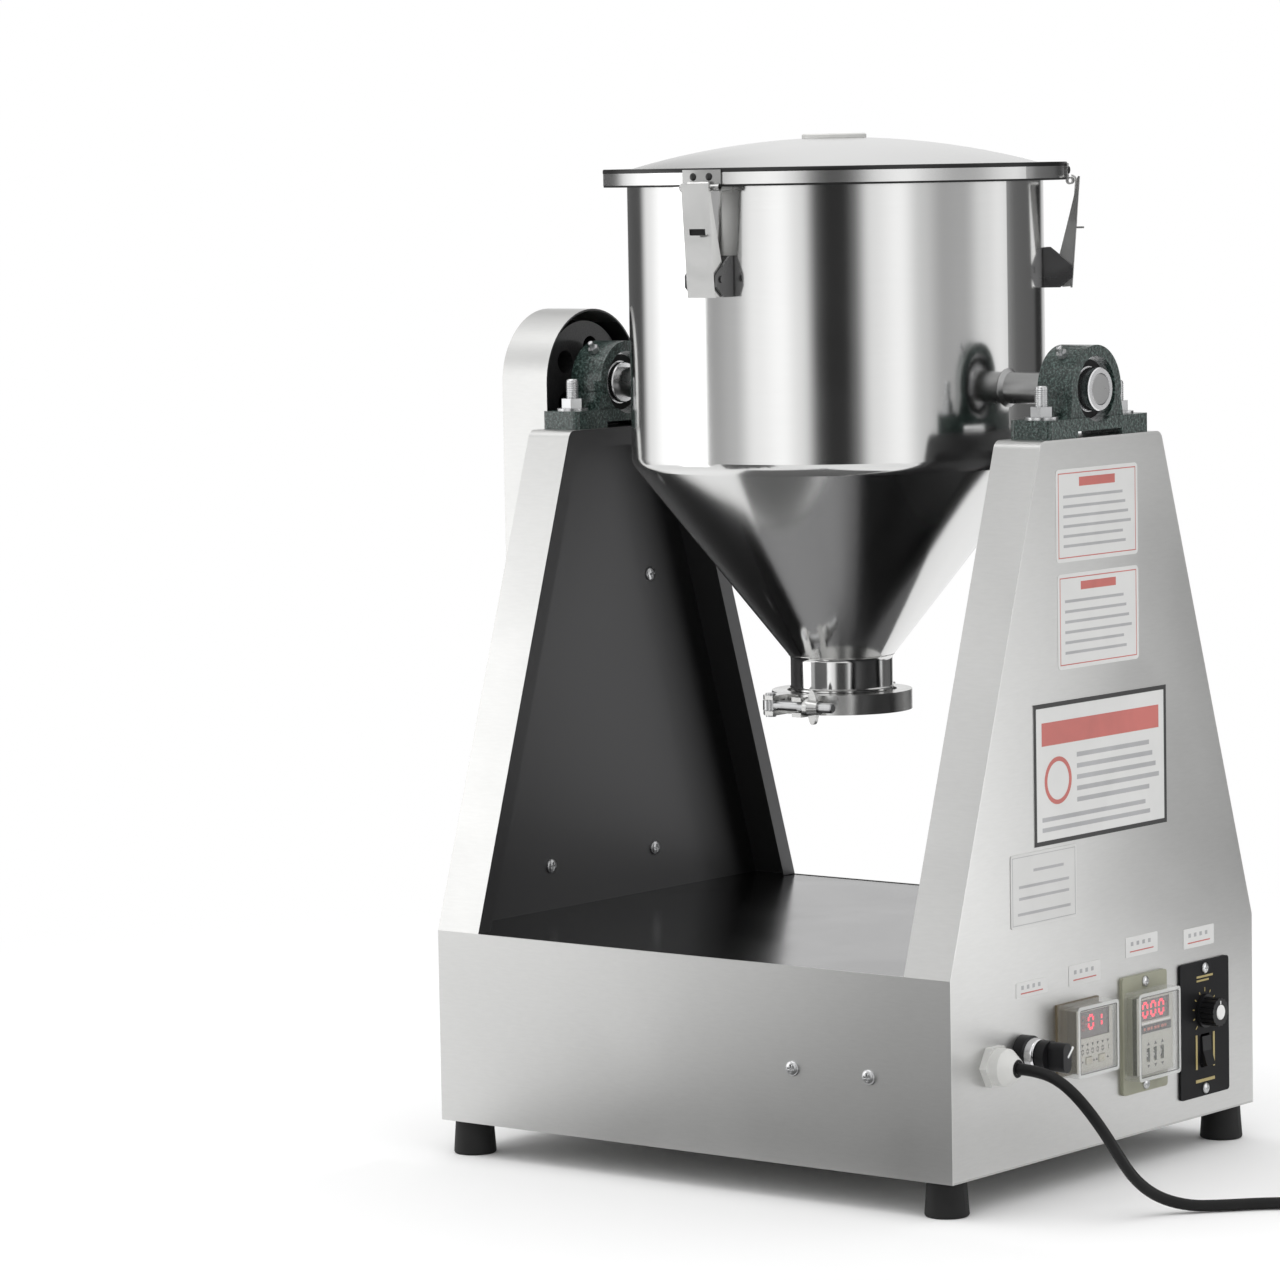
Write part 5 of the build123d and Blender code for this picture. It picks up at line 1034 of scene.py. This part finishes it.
def add_counter_face():
    """Raised face of the counter: display window, numbered wheels with their marks, key caps, cover edges."""
    y, z = counter_place
    face = counter_face_reach
    columns = (-0.0248, -0.0205, -0.0135, -0.0045, 0.0045, 0.0135, 0.0205, 0.0248)
    rows = (-0.0243, -0.0190, -0.0130, 0.0018, 0.0228, 0.0243)
    openings = [(column, 3) for column in range(1, 6)] + [(2, 1), (4, 1)]
    add_bezel("counter_bezel", counter_place, columns, rows, openings, face, "counter bezel")
    digits = ((8, -0.0143, 0.0135, False), (0, -0.0035, 0.0135, True), (1, 0.0083, 0.0135, True))
    add_display("counter", counter_place, 0.0215, 0.0008, 0.0236, face - 0.0014, digits, (0.0032, 0.0050),
                0.0020)
    reaches = (face - overlap, face + print_height)
    pitch = 0.007
    lower_tick_shifts = {0: 0.0, 2: 0.0015, 3: -0.0015, 5: 0.0}
    bm = bmesh.new()
    for index in range(6):
        spot = y + (index - 2.5) * pitch
        add_tick(bm, spot, z - 0.0026, 0.0015, -0.0022, *reaches)
        add_digit(bm, 1 if index == 5 else 0, (spot, z - 0.0087), 0.0011, 0.0018, 0.0008, *reaches)
        if index in lower_tick_shifts:
            add_tick(bm, spot + lower_tick_shifts[index], z - 0.0172, 0.0013, 0.0020, *reaches)
    add_piece("counter_marks", bm, "label dark", "frame")
    half_width, half_height, low_reach, proud = 0.0041, 0.0026, 0.0102, 0.0009
    for number in (1, 2):
        place = middle(f"counter_key_{number}")[1:]
        cap = box_about(place, (-half_width, -half_height), (half_width, half_height), low_reach,
                        face + proud, 0.0006)
        add_boxes(f"counter_key_cap_{number}", [cap], "beige plastic", f"key_{number}")
    add_cover_edges("counter_cover")


def add_timer_face():
    """Raised face of the timer: display window, printed strip, openings for the thumbwheels, cover edges."""
    z = timer_place[1]
    face = timer_face_reach
    columns = (-0.0259, -0.0205, -0.0125, -0.0075, -0.0025, 0.0025, 0.0075, 0.0125, 0.0205, 0.0259)
    rows = (-0.0309, -0.0215, -0.0105, 0.0115, 0.0285, 0.0309)
    openings = [(column, 3) for column in range(1, 8)] + [(2, 1), (4, 1), (6, 1)]
    add_bezel("timer_bezel", timer_place, columns, rows, openings, face, "timer bezel")
    digits = [(0, shift, 0.020, True) for shift in (-0.0123, -0.0008, 0.0107)]
    add_display("timer", timer_place, 0.0213, 0.0108, 0.0292, face - 0.0014, digits, (0.0032, 0.0054), 0.0021)
    reaches = (face - overlap, face + print_height)
    for name, half_width, low_z, high_z, coat in (
        ("timer_white_line", 0.0213, 0.0092, 0.0104, "white print"),
        ("timer_strip", 0.0226, 0.0018, 0.0084, "label dark"),
    ):
        strip = box_about(timer_place, (-half_width, low_z), (half_width, high_z), *reaches)
        add_boxes(name, [strip], coat, "frame")
    bars = []
    for index in range(7):
        start = -0.0170 + index * 0.0050
        length = 0.0026 + 0.0012 * (index % 2)
        bars.append(box_about(timer_place, (start, 0.0040), (start + length, 0.0062), reaches[1] - overlap,
                              reaches[1] + overlap))
    add_boxes("timer_strip_bars", bars, "label red", "frame")
    wheels = [middle(f"timer_wheel_{number}")[1:] for number in (1, 2, 3)]
    bm = bmesh.new()
    for wheel_y, _ in wheels:
        add_tick(bm, wheel_y, z - 0.0082, 0.0018, 0.0026, *reaches)
        add_tick(bm, wheel_y, z - 0.0238, 0.0018, -0.0026, *reaches)
    add_piece("timer_marks", bm, "label dark", "frame")
    for number, (place, value) in enumerate(zip(wheels, (1, 5, 0)), start=1):
        bm = bmesh.new()
        add_digit(bm, value, place, 0.0012, 0.0020, 0.0006, 0.0098, 0.01065)
        add_piece(f"timer_wheel_mark_{number}", bm, "white print", f"wheel_{number}")
    add_cover_edges("timer_cover")


def add_speed_face():
    """Dial ticks round the knob, its pale cap and line, bars beside the rocker and lines above and below."""
    y, z = knob_place
    reaches = (0.0019, 0.0023)
    ticks = 11
    inner, outer, longest, half = 0.0158, 0.0180, 0.0192, 0.0004
    bm = bmesh.new()
    for index in range(ticks):
        angle = radians(225.0 - 270.0 * index / (ticks - 1))
        outward = Vector((cos(angle), sin(angle)))
        across = Vector((-outward[1], outward[0])) * half
        end = longest if index % 5 == 0 else outer
        outline = [Vector(knob_place) + outward * reach + across * side
                   for reach, side in ((inner, -1), (end, -1), (end, 1), (inner, 1))]
        add_panel_prism(bm, outline, *reaches)
    for side in (-0.0128, 0.0128):
        add_panel_box(bm, (y + side - 0.0012, 0.0675), (y + side + 0.0012, 0.0955), *reaches)
    for start, low_z, end, high_z in ((-0.014, 0.0565, 0.014, 0.0590), (-0.012, 0.1415, 0.012, 0.1432),
                                      (-0.012, 0.1385, 0.006, 0.1400)):
        add_panel_box(bm, (y + start, low_z), (y + end, high_z), 0.0019, 0.0022)
    add_piece("speed_dial_print", bm, "gold print", "frame")
    bm = bmesh.new()
    profile = [(-0.0002, 0.0), (-0.0002, 0.0060), (0.0004, 0.0060), (0.0009, 0.0053), (0.0009, 0.0)]
    add_turned(bm, (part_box("speed_knob")[1][0], y, z), (1, 0, 0), profile, 40)
    add_piece("speed_knob_cap", bm, "white print", "knob")
    line = box_about(knob_place, (-0.0006, 0.0064), (0.0006, 0.0092), 0.0168, 0.0173)
    add_boxes("speed_knob_line", [line], "white print", "knob")


# Labels on the right panel, by their low and high (y, z) corners
notices = (((-0.065, 0.490), (0.049, 0.562), 0.012), ((-0.064, 0.407), (0.049, 0.481), 0.011))
sign = ((-0.099, 0.273), (0.087, 0.383))
sign_circle_place = (-0.066, 0.322)
data_plate = ((-0.132, 0.213), (-0.042, 0.270))
data_plate_rows = ((0.256, 0.34, 0.80), (0.2445, 0.12, 0.88), (0.2355, 0.12, 0.88), (0.2235, 0.10, 0.90))
small_labels = (((-0.126, 0.159), (-0.084, 0.171)), ((-0.054, 0.159), (-0.010, 0.175)),
                ((0.026, 0.171), (0.072, 0.187)), ((0.110, 0.167), (0.155, 0.183)))
film_reaches = (0.0, 0.0004)
print_reaches = (0.00035, 0.00045)
plate_line_reaches = (0.0005, 0.00065)


def print_rows(low, high, rows, height):
    """Boxes for rows of print with ragged ends, from the top down."""
    pitch = (high[1] - low[1]) / rows
    for row in range(rows):
        top = high[1] - pitch * row - 0.3 * pitch
        cut = (high[0] - low[0]) * 0.12 * ((row * 7 + 3) % 4) / 3
        yield (low[0], top - height), (high[0] - cut, top), *print_reaches


def add_notices():
    """The two notices and the sign, left without words; bars stand for lines of print."""
    film, grey, red, black = [], [], [], []
    for low, high, heading in notices:
        film.append((low, high, *film_reaches, 0.004))
        red += [(*strip, *print_reaches) for strip in edge_strips(*inset(low, high, 0.003), 0.0008)]
        top = high[1] - 0.007
        red.append(((low[0] + 0.032, top - 0.001 - heading * 0.5), (high[0] - 0.032, top), 0.00035, 0.00046))
        grey += print_rows((low[0] + 0.010, low[1] + 0.008), (high[0] - 0.010, high[1] - 0.018), 6, 0.0022)
    film.append((*sign, *film_reaches, 0.002))
    black += [(*strip, 0.00035, 0.0005) for strip in edge_strips(*sign, 0.0035)]
    red.append(((-0.088, 0.350), (0.076, 0.368), 0.00035, 0.00048))
    grey += print_rows((-0.040, 0.300), (0.076, 0.344), 5, 0.0036)
    grey += print_rows((-0.088, 0.281), (0.076, 0.297), 2, 0.0034)
    add_boxes("label_bar_grey", grey, "label grey", "frame")
    add_boxes("label_bar_red", red, "label red", "frame")
    add_boxes("label_border_black", black, "label black", "frame")
    add_boxes("label_films", film, "label film", "frame")
    profile = [(0.0, 0.0150), (0.0002, 0.0150), (0.0002, 0.0185), (0.0, 0.0185)]
    circle = ((panel_x + 0.00035, *sign_circle_place), (1, 0, 0), profile)
    add_rings("label_round_sign", [circle], 48, "label red", "frame")


def add_data_plate():
    """The bare silvered plate with its thin border and four lines."""
    low, high = data_plate
    width = high[0] - low[0]
    add_boxes("blank_data_plate", [(low, high, 0.0, 0.0006, 0.002)], "plate silver", "frame")
    lines = [(*strip, *plate_line_reaches) for strip in edge_strips(*inset(low, high, 0.002), 0.0006)]
    for level, start, end in data_plate_rows:
        first, last = low[0] + width * start, low[0] + width * end
        lines.append(((first, level - 0.0011), (last, level + 0.0011), *plate_line_reaches))
    add_boxes("data_plate_lines", lines, "label grey", "frame")


def add_small_labels():
    """Small labels over the controls, each with four blocks and a red line."""
    films, bars, blocks = [], [], []
    for low, high in small_labels:
        films.append((low, high, *film_reaches, 0.001))
        width, height = high[0] - low[0], high[1] - low[1]
        level = low[1] + height * 0.64
        for block in range(4):
            start = low[0] + width * (0.16 + 0.18 * block)
            blocks.append(((start, level - 0.0016), (start + 0.08 * width, level + 0.0016), *print_reaches))
        line = low[1] + height * 0.26
        bars.append(((low[0] + 0.006, line - 0.0005), (high[0] - 0.006, line + 0.0005), *print_reaches))
    add_boxes("small_labels", films, "label film", "frame")
    add_boxes("small_label_bars", bars, "label red", "frame")
    add_boxes("small_label_blocks", blocks, "label grey", "frame")


# Studio: light levels round the mixer, by degrees from the camera's side towards its right
band_levels = (
    (-180, 0.95), (-172, 0.12), (-141, 0.09), (-130, 1.05), (-112, 1.5), (-100, 1.35), (-86, 0.62),
    (-74, 0.45), (-61, 0.60), (-48, 1.15), (-33, 1.35), (-21, 1.0), (-12, 0.08), (-7, 0.03), (3, 0.03),
    (7, 0.15), (17, 1.0), (33, 1.25), (46, 0.75), (59, 0.47), (72, 0.50), (87, 0.92), (101, 1.1),
    (113, 0.15), (138, 0.13), (143, 0.03), (153, 0.03), (160, 0.70), (180, 0.95),
)
brightest_band = 1.5
to_camera = (sin(camera_azimuth), -cos(camera_azimuth), 0)
to_right = (cos(camera_azimuth), sin(camera_azimuth), 0)


def band_world():
    """White to the camera; soft vertical bands of light and shade round the mixer for the metal."""
    world = bpy.data.worlds.new("studio")
    scene.world = world
    world.use_nodes = True
    tree = world.node_tree
    tree.nodes.clear()
    direction = coordinate(tree, "Generated")
    angle = math_node(tree, "ARCTAN2", *[dot_product(tree, direction, way) for way in (to_right, to_camera)])
    turn = math_node(tree, "MULTIPLY_ADD", angle, 1 / (2 * pi), 0.5)
    bands = add_node(tree, "ShaderNodeValToRGB", {"Fac": turn})
    ramp = bands.color_ramp
    ramp.interpolation = "EASE"
    for degrees, level in band_levels:
        if degrees == -180:
            stop = ramp.elements[0]
        elif degrees == 180:
            stop = ramp.elements[-1]
        else:
            stop = ramp.elements.new((degrees + 180.0) / 360.0)
        stop.color = (*[level / brightest_band] * 3, 1.0)
    up = add_node(tree, "ShaderNodeSeparateXYZ", {0: direction}).outputs["Z"]
    lit = math_node(tree, "MULTIPLY", bands.outputs["Color"], brightest_band)
    lifted = mixed(tree, smooth_step(tree, up, 0.30, 0.75), lit, 0.95)
    paths = add_node(tree, "ShaderNodeLightPath").outputs
    shown = mixed(tree, paths["Is Camera Ray"], lifted, 1.0)
    soft = mixed(tree, paths["Is Diffuse Ray"], shown, smooth_step(tree, up, -0.05, 0.65, 0.22, 1.34))
    background = add_node(tree, "ShaderNodeBackground", {"Color": (1, 1, 1), "Strength": soft})
    add_node(tree, "ShaderNodeOutputWorld", {0: background.outputs[0]})


def add_floor():
    """A round pale floor that shows white and keeps the mixer's shadow."""
    bm = bmesh.new()
    bmesh.ops.create_circle(bm, cap_ends=True, segments=96, radius=2.6)
    material, tree, shader = uneven((0.86, 0.86, 0.86), 0.8, (0.87, 0.87, 0.87), (0.85, 0.85, 0.85), 0.6)
    glow = add_node(tree, "ShaderNodeEmission", {"Strength": 1.0})
    paths = add_node(tree, "ShaderNodeLightPath").outputs
    reach = add_node(tree, "ShaderNodeVectorMath", {0: coordinate(tree, "Object")}, operation="LENGTH")
    far = smooth_step(tree, reach.outputs["Value"], 0.55, 1.5)
    seen = math_node(tree, "ADD", paths["Is Camera Ray"], paths["Is Glossy Ray"], clamp=True)
    seen = math_node(tree, "ADD", seen, paths["Is Transmission Ray"], clamp=True)
    share = math_node(tree, "MULTIPLY", seen, far)
    mix = add_node(tree, "ShaderNodeMixShader", {0: share, 1: shader.outputs[0], 2: glow.outputs[0]})
    feed(tree, tree.nodes["Material Output"].inputs["Surface"], mix.outputs[0])
    from_bmesh("floor", bm, material)


def add_light(name, place, aim, size, power):
    """A rectangular soft light that only its effect shows."""
    data = bpy.data.lights.new(name, "AREA")
    data.shape = "RECTANGLE"
    data.size, data.size_y = size
    data.energy = power
    light = bpy.data.objects.new(name, data)
    scene.collection.objects.link(light)
    light.location = place
    light.visible_camera = False
    light.rotation_euler = (Vector(aim) - Vector(place)).to_track_quat("-Z", "Y").to_euler()
    return light


def add_card(name, corners):
    """A dark card that only reflections show."""
    bm = bmesh.new()
    bm.faces.new([bm.verts.new(corner) for corner in corners])
    dark, darkest = (0.12, 0.12, 0.12), (0.10, 0.10, 0.10)
    card = from_bmesh(name, bm, uneven(darkest, 0.9, darkest, dark, 4.0)[0])
    card.visible_camera = False
    card.visible_diffuse = False
    card.visible_shadow = False


def add_standing_card(name, place, width, height):
    """A dark card standing on the floor, square to the light that the panels send to the camera."""
    along = Vector((cos(camera_azimuth), -sin(camera_azimuth), 0))
    foot = Vector((*place, 0))
    add_card(name, [foot + along * (side * width / 2) + Vector((0, 0, level))
                    for side, level in ((-1, card_level), (1, card_level), (1, height), (-1, height))])


def add_studio():
    """World, floor, soft lights and dark cards."""
    band_world()
    add_floor()
    add_light("overhead_soft_light", (-0.6, -0.7, 2.8), (0, 0, 0.4), (2.0, 2.0), 15.0)
    for light in (
        add_light("left_soft_light", (-1.28, -1.17, 0.62), (0, -0.05, 0.50), (0.66, 1.05), 3.15),
        add_light("right_soft_light", (1.06, 0.44, 0.27), (0.43, -0.35, 0.30), (0.56, 0.52), 1.3),
    ):
        light.visible_diffuse = False
    add_standing_card("front_flag", (-0.22, -1.36), 0.84, 0.36)
    add_standing_card("right_flag", (0.76, 1.05), 0.46, 0.44)
    (left, front), (right, back) = (-0.28, -1.05), (0.62, -0.26)
    corners = ((left, front), (right, front), (right, back), (left, back))
    add_card("floor_flag", [(x, y, card_level) for x, y in corners])


add_camera()
finish_nodes()
add_power_cord()
add_fasteners()
add_bolt_threads()
add_bearing_seals()
add_latch_slot_shades()
add_round_lines()
add_switch_details()
add_gland_seal()
add_counter_face()
add_timer_face()
add_speed_face()
add_notices()
add_data_plate()
add_small_labels()
add_studio()
